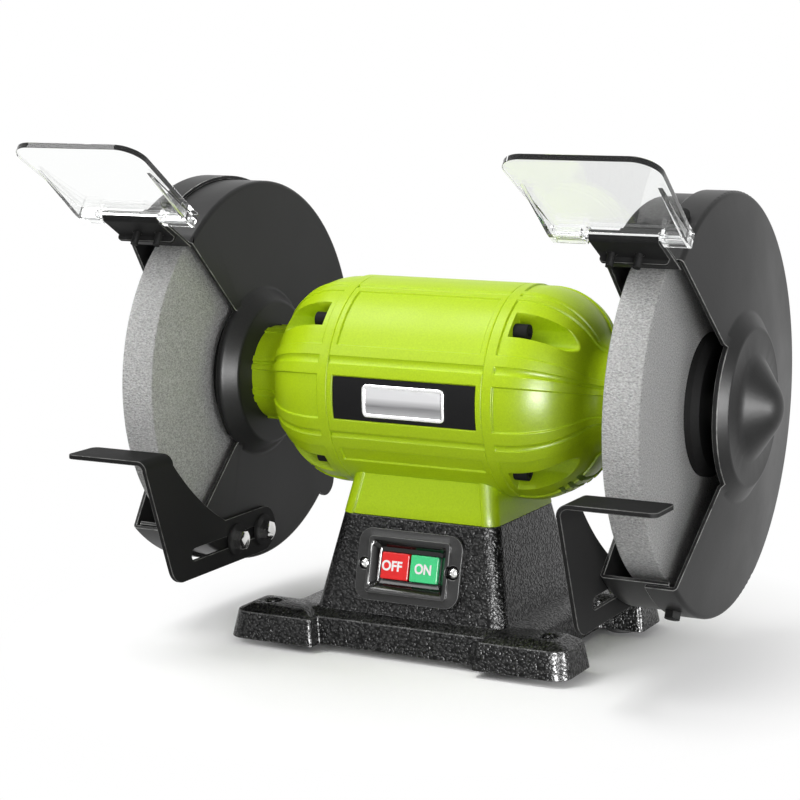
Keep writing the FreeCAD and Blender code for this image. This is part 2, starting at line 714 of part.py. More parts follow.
def bell_path(depth, x_from, x_to):
    """Outline of the bell's outer skin, moved inwards by a depth: barrel, round shoulder, blend, neck."""
    centre = (BELL_STRAIGHT_X, BELL_ROUND_CENTRE_R)
    blend = (BLEND_X, BLEND_CENTRE_R)
    round_r = BELL_ROUND_R - depth
    blend_r = NECK_BLEND_R + depth
    shoulder = on_circle(centre, round_r, (90 + BLEND_ANGLE) / 2)
    turn = on_circle(centre, round_r, BLEND_ANGLE)
    hollow = on_circle(blend, blend_r, (BLEND_ANGLE + 180 + 270) / 2)
    return [
        (x_from, HOUSING_R - depth),
        (BELL_STRAIGHT_X, HOUSING_R - depth),
        (shoulder, turn),
        (hollow, (BLEND_X, NECK_R - depth)),
        (x_to, NECK_R - depth),
    ]


def reversed_path(path):
    """The same open outline walked from its end to its start."""
    points = [step[1] if isinstance(step[0], tuple) else step for step in path]
    back = [points[-1]]
    for index in range(len(path) - 1, 0, -1):
        step = path[index]
        back.append((step[0], points[index - 1]) if isinstance(step[0], tuple) else points[index - 1])
    return back


def skin_sector(depth, angles):
    """Sector between the bell's skin and a deeper copy of it, used to sink panels and grooves."""
    outside = bell_path(-CUT_PAST, BELL_BAND_END_X, NECK_END_X + CUT_PAST)
    inside = reversed_path(bell_path(depth, BELL_BAND_END_X, NECK_END_X + CUT_PAST))
    return lathe(outside + inside, angles[0], angles[1] - angles[0])


def both_sides(angles):
    """A sector of the operator's side together with its twin at the back."""
    return [angles, (180 - angles[1], 180 - angles[0])]


def barrel_sector(depth, angles, half):
    """Sunk band on the barrel between two angles."""
    floor_r = HOUSING_R - depth
    past_r = HOUSING_R + CUT_PAST
    path = [(-half, floor_r), (half, floor_r), (half, past_r), (-half, past_r)]
    return lathe(path, angles[0], angles[1] - angles[0])


def bell_screw_rods(x_from, length, r):
    """Four cylinders in line with the bell screws."""
    rods = []
    for angle in BELL_SCREW_ANGLES:
        rods.append(rod(radial(angle, x_from, BELL_SCREW_CIRCLE_R), X_AXIS, length, r))
    return rods


def saddle_recess(skin):
    """Shallow flat panel on the front of the saddle, between its two round corner columns."""
    low = half_x(PEDESTAL_TOP_Z) - SADDLE_COLUMN
    high = half_x(AXIS_HEIGHT) - SADDLE_COLUMN
    rise = AXIS_HEIGHT - PEDESTAL_TOP_Z
    panel = [(-low, 0), (low, 0), (high, rise), (-high, rise)]
    block = prism(panel, plan(-SADDLE_RECESS), Z_AXIS * CAST_WALL)
    return on_front_face(block, 0, FACE_HEIGHT).cut(skin)


def barrel_panels():
    """Everything that is sunk into the barrel's outer face."""
    tools = []
    for panel in (FRONT_PANEL, SHOULDER_PANEL, BARREL_LOWER_PANEL):
        tools += [barrel_sector(PANEL_DEPTH, angles, BAND_HALF) for angles in both_sides(panel)]
    for groove in RIB_GROOVES:
        tools += [barrel_sector(GROOVE_DEPTH, angles, BARREL_HALF) for angles in both_sides(groove)]
    return tools


def make_motor_housing():
    shoulder = BARREL_HALF - SEAM_BREAK
    edge_r = HOUSING_R - SEAM_BREAK
    skin = lathe([(-BARREL_HALF, 0), (-BARREL_HALF, edge_r), (-shoulder, HOUSING_R), (shoulder, HOUSING_R),
                  (BARREL_HALF, edge_r), (BARREL_HALF, 0)])
    saddle_top = AXIS_HEIGHT - SADDLE_TOP_DROP
    saddle = tapered_block(PEDESTAL_TOP_Z, saddle_top, 0)
    hollow = tapered_block(PEDESTAL_TOP_Z + SADDLE_FLOOR, saddle_top, CAST_WALL).cut(skin)
    bore = rod(V(-BARREL_HALF, 0, AXIS_HEIGHT), X_AXIS, 2 * BARREL_HALF, BORE_R)
    cable = rod(V(0, 0, PEDESTAL_TOP_Z), Z_AXIS, saddle_top - PEDESTAL_TOP_Z, CABLE_HOLE_R)
    housing = cut_all(fuse_all([skin, saddle]), [hollow, saddle_recess(skin), bore, cable] + barrel_panels())
    lug_x = BARREL_HALF - BARREL_LUG_LENGTH
    lugs = bell_screw_rods(lug_x, BARREL_LUG_LENGTH, BARREL_LUG_R)
    lugs += [mirrored(lug) for lug in lugs]
    housing = fuse_all([housing] + lugs)
    holes = bell_screw_rods(lug_x, BARREL_LUG_LENGTH, BELL_SCREW_R + THREAD_FIT)
    holes += [mirrored(hole) for hole in holes]
    for point in neck_bolt_points(PEDESTAL_TOP_Z):
        holes.append(rod(point, Z_AXIS, SADDLE_FLOOR, NECK_BOLT_R + THREAD_FIT))
    return cut_all(housing, holes)


def make_neck_bolts():
    bolts = []
    for point in neck_bolt_points(PEDESTAL_TOP_Z - CAST_WALL):
        shank = rod(point, Z_AXIS, CAST_WALL + SADDLE_FLOOR, NECK_BOLT_R)
        head = hexagon(point, -Z_AXIS, NECK_BOLT_HEAD, NECK_BOLT_AF, HEX_BREAK)
        bolts.append(fuse_all([shank, head]))
    return Part.makeCompound(bolts)


def bell_cavity():
    """Hollow of the bell: spigot bore, inside of the round shoulder, bearing wall, seat and neck bore."""
    inner_r = BELL_ROUND_R - BELL_WALL
    centre = (BELL_STRAIGHT_X, BELL_ROUND_CENTRE_R)
    wall_angle = math.degrees(math.acos((BEARING_WALL_X - BELL_STRAIGHT_X) / inner_r))
    skin_r = HOUSING_R - BELL_WALL
    rim_r = BORE_R - SPIGOT_WALL
    rim_x = BARREL_HALF + SPIGOT_LENGTH
    seat_r = BEARING_R + RUNNING_FIT
    return lathe([
        (BARREL_HALF, 0), (BARREL_HALF, rim_r), (rim_x, rim_r), (rim_x + SPIGOT_WALL, skin_r),
        (BELL_STRAIGHT_X, skin_r),
        (on_circle(centre, inner_r, (90 + wall_angle) / 2), on_circle(centre, inner_r, wall_angle)),
        (BEARING_WALL_X, seat_r), (BEARING_OUT_X, seat_r), (BEARING_OUT_X, NECK_BORE_R),
        (NECK_END_X, NECK_BORE_R), (NECK_END_X, 0),
    ])


def bell_vents():
    """Cooling slots round the underside of the shoulder."""
    slots = []
    for index in range(VENT_COUNT):
        x = VENT_FIRST_X + index * VENT_PITCH
        path = [(x, NECK_R), (x + VENT_WIDTH, NECK_R), (x + VENT_WIDTH, HOUSING_R), (x, HOUSING_R)]
        slots.append(lathe(path, VENT_ANGLES[0], VENT_ANGLES[1] - VENT_ANGLES[0]))
    return slots


def bell_panels():
    """Everything that is sunk into the bell's outer face; ribs are left standing between."""
    tools = [skin_sector(PANEL_DEPTH, TOP_PANEL), skin_sector(PANEL_DEPTH, UNDER_PANEL)]
    for panel in (FRONT_PANEL, SHOULDER_PANEL, BELL_LOWER_PANEL):
        tools += [skin_sector(PANEL_DEPTH, angles) for angles in both_sides(panel)]
    for groove in RIB_GROOVES:
        tools += [skin_sector(GROOVE_DEPTH, angles) for angles in both_sides(groove)]
    return tools


def guard_screw_rods(x_from, length, r):
    """Cylinders in line with the screws that hold the guard on the neck."""
    rods = []
    for index in range(GUARD_SCREW_COUNT):
        angle = 90 + index * 360 / GUARD_SCREW_COUNT
        rods.append(rod(radial(angle, x_from, GUARD_SCREW_CIRCLE_R), X_AXIS, length, r))
    return rods


def make_end_bell():
    edge_r = HOUSING_R - SEAM_BREAK
    path = [(BARREL_HALF, 0), (BARREL_HALF, edge_r)]
    path += bell_path(0, BARREL_HALF + SEAM_BREAK, NECK_END_X) + [(NECK_END_X, 0)]
    skin = lathe(path)
    shell = skin.cut(bell_cavity())
    reach = NECK_END_X - BARREL_HALF
    bosses = [boss.common(skin) for boss in bell_screw_rods(BARREL_HALF, reach, POCKET_R + POCKET_WALL)]
    spigot_x = BARREL_HALF - SPIGOT_LENGTH
    spigot = tube(spigot_x, BARREL_HALF, BORE_R - SPIGOT_WALL, BORE_R - RUNNING_FIT)
    spigot = cut_all(spigot, bell_screw_rods(spigot_x, SPIGOT_LENGTH, BARREL_LUG_R + LUG_CLEARANCE))
    bell = fuse_all([shell, spigot] + bosses)
    tools = bell_panels() + bell_vents()
    tools += bell_screw_rods(POCKET_FLOOR_X, reach, POCKET_R)
    tools += bell_screw_rods(BARREL_HALF, reach, BELL_SCREW_R + HOLE_FIT)
    tools += guard_screw_rods(NECK_END_X - GUARD_SCREW_REACH, GUARD_SCREW_REACH, GUARD_SCREW_R + THREAD_FIT)
    return cut_all(bell, tools)


def make_bell_screws():
    screws = []
    end_x = BARREL_HALF - BELL_SCREW_REACH
    shanks = bell_screw_rods(end_x, POCKET_FLOOR_X - end_x, BELL_SCREW_R)
    heads = bell_screw_rods(POCKET_FLOOR_X, BELL_SCREW_HEAD, BELL_SCREW_HEAD_R)
    for angle, shank, head in zip(BELL_SCREW_ANGLES, shanks, heads):
        mouth = radial(angle, POCKET_FLOOR_X + BELL_SCREW_HEAD, BELL_SCREW_CIRCLE_R)
        socket = hexagon(mouth, -X_AXIS, BELL_SCREW_HEAD / 2, BELL_SCREW_HEAD_R, HEX_BREAK / 2)
        screws.append(fuse_all([shank, head]).cut(socket))
    return Part.makeCompound(screws)


def make_nameplate():
    margin = math.degrees(LABEL_MARGIN / HOUSING_R)
    floor_r = HOUSING_R - PANEL_DEPTH
    half = BAND_HALF - LABEL_MARGIN
    path = [(-half, floor_r), (half, floor_r), (half, floor_r + LABEL_THICK), (-half, floor_r + LABEL_THICK)]
    first = FRONT_PANEL[0] + margin
    return lathe(path, first, FRONT_PANEL[1] - margin - first)


# Motor: stator, winding, rotor, bearings and shaft

def slot_prisms(clearance, half_length):
    """Bars along the shaft that fill the stator's slots."""
    low = CORE_BORE_R + SLOT_LIP + clearance
    high = CORE_BORE_R + SLOT_LIP + SLOT_DEPTH - clearance
    half = SLOT_WIDTH / 2 - clearance
    bars = []
    for index in range(SLOT_COUNT):
        bar = Part.makeBox(2 * half_length, 2 * half, high - low, V(-half_length, -half, low))
        turn = FreeCAD.Rotation(X_AXIS, 360 * index / SLOT_COUNT)
        bar.Placement = FreeCAD.Placement(V(0, 0, AXIS_HEIGHT), turn)
        bars.append(bar)
    return bars


def make_stator_core():
    core = tube(-CORE_HALF, CORE_HALF, CORE_BORE_R, BORE_R - RUNNING_FIT)
    return cut_all(core, slot_prisms(0, CORE_HALF))


def make_stator_winding():
    reach = CORE_HALF + END_TURN_LENGTH
    low = CORE_BORE_R + SLOT_LIP + WIRE_CLEARANCE
    start = CORE_HALF + WIRE_CLEARANCE
    ring = tube(start, reach, low, low + END_TURN_THICK)
    return fuse_all([ring, mirrored(ring)] + slot_prisms(WIRE_CLEARANCE, start))


def make_rotor_core():
    outer = CORE_BORE_R - AIR_GAP
    bore = ROTOR_SHAFT_R + RUNNING_FIT
    end = CORE_HALF + END_RING_LENGTH
    core = tube(-CORE_HALF, CORE_HALF, bore, outer)
    ring = tube(CORE_HALF, end, outer - END_RING_THICK, outer - AIR_GAP)
    return fuse_all([core, ring, mirrored(ring)])


def make_shaft():
    tip = SPINDLE_END_X - SPINDLE_END_BREAK
    half = [(SPINDLE_END_X, SPINDLE_R - SPINDLE_END_BREAK), (tip, SPINDLE_R), (SPINDLE_SHOULDER_X, SPINDLE_R),
            (SPINDLE_SHOULDER_X, JOURNAL_R), (BEARING_IN_X, JOURNAL_R), (BEARING_IN_X, ROTOR_SHAFT_R)]
    left = [(-x, r) for x, r in half]
    return lathe([(-SPINDLE_END_X, 0)] + left + half[::-1] + [(SPINDLE_END_X, 0)])


def make_bearing_outer():
    return tube(BEARING_IN_X, BEARING_OUT_X, BEARING_R - BEARING_RING, BEARING_R)


def make_bearing_inner():
    return tube(BEARING_IN_X, BEARING_OUT_X, JOURNAL_R + RUNNING_FIT, JOURNAL_R + BEARING_RING)


def make_bearing_balls():
    race_gap = BEARING_R - JOURNAL_R - 2 * BEARING_RING
    pitch_r = (BEARING_R + JOURNAL_R) / 2
    mid_x = (BEARING_IN_X + BEARING_OUT_X) / 2
    balls = []
    for index in range(BALL_COUNT):
        centre = radial(360 * index / BALL_COUNT, mid_x, pitch_r)
        balls.append(Part.makeSphere(race_gap / 2 - BALL_FIT, centre))
    return Part.makeCompound(balls)


def make_wheel():
    bore = SPINDLE_R + RUNNING_FIT
    edge = WHEEL_EDGE_BREAK
    return lathe([(WHEEL_IN_X, bore), (WHEEL_OUT_X, bore), (WHEEL_OUT_X, WHEEL_R - edge),
                  (WHEEL_OUT_X - edge, WHEEL_R), (WHEEL_IN_X + edge, WHEEL_R), (WHEEL_IN_X, WHEEL_R - edge)])


def make_inner_flange():
    bore = SPINDLE_R + RUNNING_FIT
    land_r = FLANGE_R - FLANGE_LAND
    floor = WHEEL_IN_X - FLANGE_RELIEF
    taper = FLANGE_THICK / 2
    return lathe([
        (SPINDLE_SHOULDER_X, bore), (SPINDLE_SHOULDER_X, FLANGE_HUB_R), (FLANGE_FACE_X, FLANGE_HUB_R),
        (FLANGE_FACE_X, FLANGE_R - taper), (FLANGE_FACE_X + taper, FLANGE_R), (WHEEL_IN_X, FLANGE_R),
        (WHEEL_IN_X, land_r), (floor, land_r), (floor, bore),
    ])


def make_outer_flange():
    bore = SPINDLE_R + RUNNING_FIT
    land_r = FLANGE_R - FLANGE_LAND
    floor = WHEEL_OUT_X + FLANGE_RELIEF
    taper = FLANGE_THICK / 2
    return lathe([
        (floor, bore), (floor, land_r), (WHEEL_OUT_X, land_r), (WHEEL_OUT_X, FLANGE_R),
        (OUTER_FLANGE_X - taper, FLANGE_R), (OUTER_FLANGE_X, FLANGE_R - taper), (OUTER_FLANGE_X, bore),
    ])


def make_wheel_nut():
    seat = V(OUTER_FLANGE_X, 0, AXIS_HEIGHT)
    nut = hexagon(seat, X_AXIS, NUT_HEIGHT, NUT_ACROSS_FLATS, NUT_BREAK)
    return nut.cut(rod(seat, X_AXIS, NUT_HEIGHT, SPINDLE_R + THREAD_FIT))


# Guard and cover

def notch(hub, rim):
    """Front opening: a wedge between two edges, set by their angles at the hub ring and at the rim."""
    corners = []
    for sign in (1, -1):
        inner = radial(sign * hub, 0, NOTCH_HUB_R)
        outer = radial(sign * rim, 0, COVER_R)
        beyond = outer + (outer - inner)
        corners += [(inner.y, inner.z), (beyond.y, beyond.z)][::sign]
    wedge = prism(corners, side(NECK_END_X), X_AXIS * (COVER_FACE_X + COVER_RING_DEPTH - NECK_END_X))
    hub_disc = rod(V(NECK_END_X, 0, AXIS_HEIGHT), X_AXIS, SPINDLE_END_X, NOTCH_HUB_R)
    return wedge.cut(hub_disc)


def flange_corner():
    """Upper front corner of the opening, where the guard's flange turns out."""
    return radial(NOTCH_RIM_ANGLE, 0, COVER_R)


def on_flange(shape):
    """Moves a shape drawn as (along the shaft, up the flange, out of its underside) onto the flange."""
    shape.Placement = FreeCAD.Placement(flange_corner(), FreeCAD.Rotation(X_AXIS, 180 - FLANGE_ANGLE))
    return shape


def rest_bolt_rods(x_from, length, r):
    """Cylinders in line with the two bolts of the tool rest."""
    return [rod(V(x_from, y, REST_SLOT_Z), X_AXIS, length, r) for y in REST_BOLT_Y]


def cover_bolt_rods(r_from, r_to, r):
    """Cylinders in line with the bolts that hold the cover on the guard's rim."""
    rods = []
    for angle in COVER_BOLT_ANGLES:
        rods.append(rod(radial(angle, COVER_BOLT_X, r_from), outward(angle), r_to - r_from, r))
    return rods


def bracket_screw_rods(level, depth, r):
    """Cylinders in line with the bracket screws, from a level under the flange."""
    middle = BRACKET_MID_X - BRACKET_SCREW_SHIFT
    rods = []
    for sign in (-1, 1):
        start = V(middle + sign * BRACKET_SCREW_PITCH / 2, BRACKET_SCREW_AT, level)
        rods.append(on_flange(rod(start, Z_AXIS, depth, r)))
    return rods


def make_guard():
    rim_end = GUARD_FACE_X + GUARD_RIM_WIDTH
    bend = (GUARD_FACE_X + BEND_R, GUARD_R - BEND_R)
    step = BOSS_FOOT_R - SHEET / 2
    pan = lathe([
        (NECK_END_X, BOSS_BORE_R), (NECK_END_X, BOSS_FACE_R), (GUARD_FACE_X, BOSS_FOOT_R),
        (GUARD_FACE_X, GUARD_R - BEND_R), (on_circle(bend, BEND_R, 135), (GUARD_FACE_X + BEND_R, GUARD_R)),
        (rim_end, GUARD_R), (rim_end, GUARD_RIM_R), (GUARD_IN_X, GUARD_RIM_R), (GUARD_IN_X, step),
        (NECK_END_X + SHEET, BOSS_FACE_R - SHEET / 2), (NECK_END_X + SHEET, BOSS_BORE_R),
    ])
    lug = rod(radial(LUG_ANGLE, GUARD_FACE_X, GUARD_RIM_R), X_AXIS, SHEET, LUG_R)
    wide = COVER_IN_X - RIM_FIT - GUARD_IN_X
    long = FLANGE_LENGTH + FLANGE_ROOT
    flange = on_flange(Part.makeBox(wide, long, FLANGE_SHEET, V(GUARD_IN_X, -FLANGE_ROOT, FLANGE_SEAT)))
    nut_floor = GUARD_RIM_R - COVER_NUT_H
    nuts = cover_bolt_rods(nut_floor, GUARD_RIM_R + SHEET / 2, WELD_NUT_R)
    nuts += rest_bolt_rods(GUARD_FACE_X + SHEET / 2, WELD_NUT_H + SHEET / 2, WELD_NUT_R)
    guard = fuse_all([pan.cut(notch(NOTCH_HUB_ANGLE, NOTCH_RIM_ANGLE)), flange, lug] + nuts)
    tools = cover_bolt_rods(nut_floor, COVER_R, COVER_BOLT_R + THREAD_FIT)
    tools += rest_bolt_rods(GUARD_FACE_X, SHEET + WELD_NUT_H, REST_BOLT_R + THREAD_FIT)
    tools += bracket_screw_rods(0, BRACKET_SEAT, BRACKET_SCREW_R + THREAD_FIT)
    tools += guard_screw_rods(NECK_END_X, SHEET, GUARD_SCREW_R + HOLE_FIT)
    return cut_all(guard, tools)


def make_guard_screws():
    screws = []
    seat = NECK_END_X + SHEET
    shanks = guard_screw_rods(NECK_END_X - GUARD_SCREW_REACH, GUARD_SCREW_REACH + SHEET, GUARD_SCREW_R)
    heads = guard_screw_rods(seat, GUARD_SCREW_HEAD, GUARD_SCREW_HEAD_R)
    for shank, head in zip(shanks, heads):
        screws.append(fuse_all([shank, head]))
    return Part.makeCompound(screws)


def make_cover():
    rim_start = COVER_FACE_X - COVER_RIM_WIDTH
    bend = (COVER_FACE_X - BEND_R, COVER_R - BEND_R)
    ring_x = COVER_FACE_X + COVER_RING_DEPTH
    tilt = math.atan2(DOME_SHOULDER_HEIGHT, DOME_R - DOME_SHOULDER_R)
    cap_r = DOME_SHOULDER_R / math.sin(tilt)
    cap_x = ring_x + DOME_SHOULDER_HEIGHT - cap_r * math.cos(tilt)
    half_tilt = math.degrees(tilt) / 2
    cap = (on_circle((cap_x, 0), cap_r, half_tilt), (cap_x + cap_r, 0))
    inner_cap_x = cap_x - SHEET
    inner_shoulder = (inner_cap_x + cap_r * math.cos(tilt), DOME_SHOULDER_R)
    inner_cap = (on_circle((inner_cap_x, 0), cap_r, half_tilt), inner_shoulder)
    path = [
        (rim_start, COVER_R), (COVER_FACE_X - BEND_R, COVER_R),
        (on_circle(bend, BEND_R, 45), (COVER_FACE_X, COVER_R - BEND_R)),
        (COVER_FACE_X + COVER_DISH, COVER_RING_FOOT_R), (ring_x, COVER_RING_FACE_R), (ring_x, DOME_R),
        (ring_x + DOME_SHOULDER_HEIGHT, DOME_SHOULDER_R), cap,
        (inner_cap_x + cap_r, 0), inner_cap, (ring_x - SHEET, DOME_R),
        (ring_x - SHEET, COVER_RING_FACE_R - SHEET / 2),
        (COVER_IN_X + COVER_DISH, COVER_RING_FOOT_R - SHEET / 2),
        (COVER_IN_X, COVER_RIM_R), (rim_start, COVER_RIM_R),
    ]
    holes = cover_bolt_rods(COVER_RIM_R - SHEET, COVER_R + SHEET, COVER_BOLT_R + HOLE_FIT)
    edge = NOTCH_RIM_ANGLE + COVER_NOTCH_EXTRA
    return cut_all(lathe(path), [notch(edge, edge)] + holes)


def make_cover_bolts():
    bolts = []
    shanks = cover_bolt_rods(GUARD_RIM_R - COVER_NUT_H, COVER_R, COVER_BOLT_R)
    for angle, shank in zip(COVER_BOLT_ANGLES, shanks):
        seat = radial(angle, COVER_BOLT_X, COVER_R)
        head = hexagon(seat, outward(angle), COVER_BOLT_HEAD, COVER_BOLT_AF, HEX_BREAK)
        bolts.append(fuse_all([shank, head]))
    return Part.makeCompound(bolts)


# Tool rest

def make_tool_rest():
    bend_z = REST_TOP_Z - REST_BEND_R
    rear_y = REST_FRONT_Y + REST_DEPTH
    low_z = REST_SLOT_Z - REST_ARM_HALF
    high_z = REST_SLOT_Z + REST_ARM_HALF
    arm_end = REST_REAR_Y - REST_ARM_HALF
    heel = round_corner((REST_FRONT_Y, bend_z), (REST_HEEL_Y, low_z), (arm_end, low_z), REST_HEEL_R)
    sag = (REST_CURVE_SAG_Y, AXIS_HEIGHT - REST_CURVE_SAG_DROP)
    plate = prism([
        (REST_FRONT_Y, bend_z), heel[0], (heel[1], heel[2]), (arm_end, low_z),
        ((REST_REAR_Y, REST_SLOT_Z), (arm_end, high_z)), (REST_ARM_FRONT_Y, high_z), (sag, (rear_y, bend_z)),
    ], side(REST_IN_X), X_AXIS * REST_SHEET)
    centre = (REST_IN_X + REST_BEND_R, bend_z)
    end_x = REST_IN_X + REST_REACH
    under_z = REST_TOP_Z - REST_SHEET
    inner_r = REST_BEND_R - REST_SHEET
    table = prism([
        (REST_IN_X, bend_z), (on_circle(centre, REST_BEND_R, 135), (centre[0], REST_TOP_Z)),
        (end_x, REST_TOP_Z), (end_x, under_z), (centre[0], under_z),
        (on_circle(centre, inner_r, 135), (GUARD_FACE_X, bend_z)),
    ], lambda x, z: V(x, REST_FRONT_Y, z), Y_AXIS * REST_DEPTH)
    corners = [e for e in table.Edges if e.BoundBox.XMin > end_x - 0.1 and e.BoundBox.YLength < 0.1]
    table = table.makeFillet(REST_CORNER_R, corners)
    slot_rear = REST_BOLT_Y[1] + REST_SLOT_HALF - REST_BOLT_R
    slot_low = REST_SLOT_Z - REST_SLOT_HALF
    slot_high = REST_SLOT_Z + REST_SLOT_HALF
    slot = prism([
        (REST_SLOT_FRONT_Y, slot_low), (slot_rear, slot_low),
        ((slot_rear + REST_SLOT_HALF, REST_SLOT_Z), (slot_rear, slot_high)),
        (REST_SLOT_FRONT_Y, slot_high),
        ((REST_SLOT_FRONT_Y - REST_SLOT_HALF, REST_SLOT_Z), (REST_SLOT_FRONT_Y, slot_low)),
    ], side(REST_IN_X), X_AXIS * REST_SHEET)
    return fuse_all([plate, table]).cut(slot)


def make_rest_washers():
    discs = rest_bolt_rods(REST_IN_X - REST_WASHER_THICK, REST_WASHER_THICK, REST_WASHER_R)
    bores = rest_bolt_rods(REST_IN_X - REST_WASHER_THICK, REST_WASHER_THICK, REST_BOLT_R + HOLE_FIT)
    return Part.makeCompound([disc.cut(bore) for disc, bore in zip(discs, bores)])


def make_rest_bolts():
    bolts = []
    seat_x = REST_IN_X - REST_WASHER_THICK
    shanks = rest_bolt_rods(seat_x, GUARD_IN_X + WELD_NUT_H - seat_x, REST_BOLT_R)
    for y, shank in zip(REST_BOLT_Y, shanks):
        head = hexagon(V(seat_x, y, REST_SLOT_Z), -X_AXIS, REST_BOLT_HEAD, REST_BOLT_AF, HEX_BREAK)
        bolts.append(fuse_all([shank, head]))
    return Part.makeCompound(bolts)


# Shield bracket, hinge rod and eye shield

def make_shield_bracket():
    wide = BRACKET_OUT_X - BRACKET_IN_X
    lip_end = BRACKET_FACE + BRACKET_LIP
    sheet = prism([
        (BRACKET_FOOT, BRACKET_SEAT), (ROLL_AT, BRACKET_SEAT), (ROLL_AT, BRACKET_FACE),
        (BRACKET_FOOT + SHEET, BRACKET_FACE), (BRACKET_FOOT + SHEET, lip_end), (BRACKET_FOOT, lip_end),
    ], lambda t, m: V(BRACKET_IN_X, t, m), X_AXIS * wide)
    corners = [e for e in sheet.Edges if e.BoundBox.ZMin > lip_end - 0.1 and e.BoundBox.XLength < 0.1]
    sheet = sheet.makeFillet(BRACKET_LIP_R, corners)
    roll_start = V(BRACKET_IN_X, ROLL_AT, ROLL_DEPTH)
    roll = rod(roll_start, X_AXIS, wide, ROLL_R)
    bracket = on_flange(fuse_all([sheet, roll]).cut(rod(roll_start, X_AXIS, wide, ROD_R + ROD_FIT)))
    return cut_all(bracket, bracket_screw_rods(BRACKET_SEAT, SHEET, BRACKET_SCREW_R + HOLE_FIT))


def make_bracket_screws():
    heads = bracket_screw_rods(FLANGE_SEAT - BRACKET_SCREW_HEAD, BRACKET_SCREW_HEAD, BRACKET_SCREW_HEAD_R)
    length = BRACKET_FACE - FLANGE_SEAT + BRACKET_SCREW_TAIL
    shanks = bracket_screw_rods(FLANGE_SEAT, length, BRACKET_SCREW_R)
    return Part.makeCompound([fuse_all([head, shank]) for head, shank in zip(heads, shanks)])


def make_hinge_rod():
    half = SHIELD_HALF_FOOT - SHIELD_WALL - ROD_END_GAP
    return on_flange(rod(V(SHIELD_X - half, ROLL_AT, ROLL_DEPTH), X_AXIS, 2 * half, ROD_R))


def ear_spans():
    """Where the shield's two ears stand along the shaft, one on each side of the bracket."""
    inner_side = (SHIELD_X - SHIELD_HALF_FOOT, BRACKET_IN_X - EAR_GAP)
    outer_side = (BRACKET_OUT_X + EAR_GAP, SHIELD_X + SHIELD_HALF_FOOT)
    return inner_side, outer_side


def shield_block(x_from, x_to, up_from, up_to, low, high):
    """Plain block in the shield's own frame: along the shaft, up the pane, and under the hinge rod."""
    return Part.makeBox(x_to - x_from, up_to - up_from, high - low, V(x_from, up_from, low))


def shield_pane():
    """Clear plate that widens towards its two round top corners."""
    top = SHIELD_FOOT + SHIELD_LENGTH
    foot_r = SHIELD_WALL / 2
    corners = [(-SHIELD_HALF_FOOT, SHIELD_FOOT), (SHIELD_HALF_FOOT, SHIELD_FOOT),
               (SHIELD_HALF_TOP, top), (-SHIELD_HALF_TOP, top)]
    path = rounded(corners, [foot_r, foot_r, SHIELD_CORNER_R, SHIELD_CORNER_R])
    low = -SHIELD_LIFT - SHIELD_THICK
    return prism(path, lambda x, t: V(SHIELD_X + x, t, low), Z_AXIS * SHIELD_THICK)


def make_eye_shield():
    ridge = SHIELD_FOOT + SHIELD_WALL
    spans = ear_spans()
    pin_from = spans[0][1]
    pin_to = spans[1][0]
    lip = shield_block(pin_from, pin_to, SHIELD_FOOT, ridge, -SHIELD_LIFT, SHIELD_LIP - SHIELD_LIFT)
    solids = [shield_pane(), lip]
    bore_start = V(pin_from - 2 * SHIELD_WALL, 0, 0)
    bore_length = pin_to - pin_from + 4 * SHIELD_WALL
    tools = [rod(bore_start, X_AXIS, bore_length, ROD_R + ROD_FIT)]
    web = [(SHIELD_FOOT, -SHIELD_LIFT), (GUSSET_TOP, -SHIELD_LIFT),
           (ridge, EAR_DROP), (SHIELD_FOOT, EAR_DROP)]
    web_starts = (spans[0][0], spans[1][1] - SHIELD_WALL)
    for (ear_from, ear_to), web_from in zip(spans, web_starts):
        solids.append(shield_block(ear_from, ear_to, -EAR_BACK, ridge, -SHIELD_LIFT - SHIELD_THICK, EAR_DROP))
        solids.append(prism(web, lambda t, m: V(web_from, t, m), X_AXIS * SHIELD_WALL))
        tools.append(shield_block(ear_from + SHIELD_WALL, ear_to - SHIELD_WALL, -2 * EAR_BACK, SHIELD_FOOT,
                                  -SHIELD_LIFT, EAR_DROP - EAR_FLOOR))
    shield = cut_all(fuse_all(solids), tools)
    turn = FreeCAD.Rotation(X_AXIS, 180 - FLANGE_ANGLE)
    hinge = flange_corner() + turn.multVec(V(0, ROLL_AT, ROLL_DEPTH))
    shield.Placement = FreeCAD.Placement(hinge, FreeCAD.Rotation(X_AXIS, 180 - SHIELD_ANGLE))
    return shield


# Named pieces, written one to a file

SINGLE_PIECES = {
    "base_casting": make_base_casting,
    "bottom_plate": make_bottom_plate,
    "bottom_plate_screws": make_bottom_plate_screws,
    "rubber_feet": make_rubber_feet,
    "cord_gland": make_cord_gland,
    "capacitor": make_capacitor,
    "switch_plate": make_switch_plate,
    "switch_screws": make_switch_screws,
    "switch_body": make_switch_body,
    "off_button": lambda: make_button(-1),
    "on_button": lambda: make_button(1),
    "motor_housing": make_motor_housing,
    "neck_bolts": make_neck_bolts,
    "nameplate": make_nameplate,
    "stator_core": make_stator_core,
    "stator_winding": make_stator_winding,
    "rotor_core": make_rotor_core,
    "shaft": make_shaft,
}

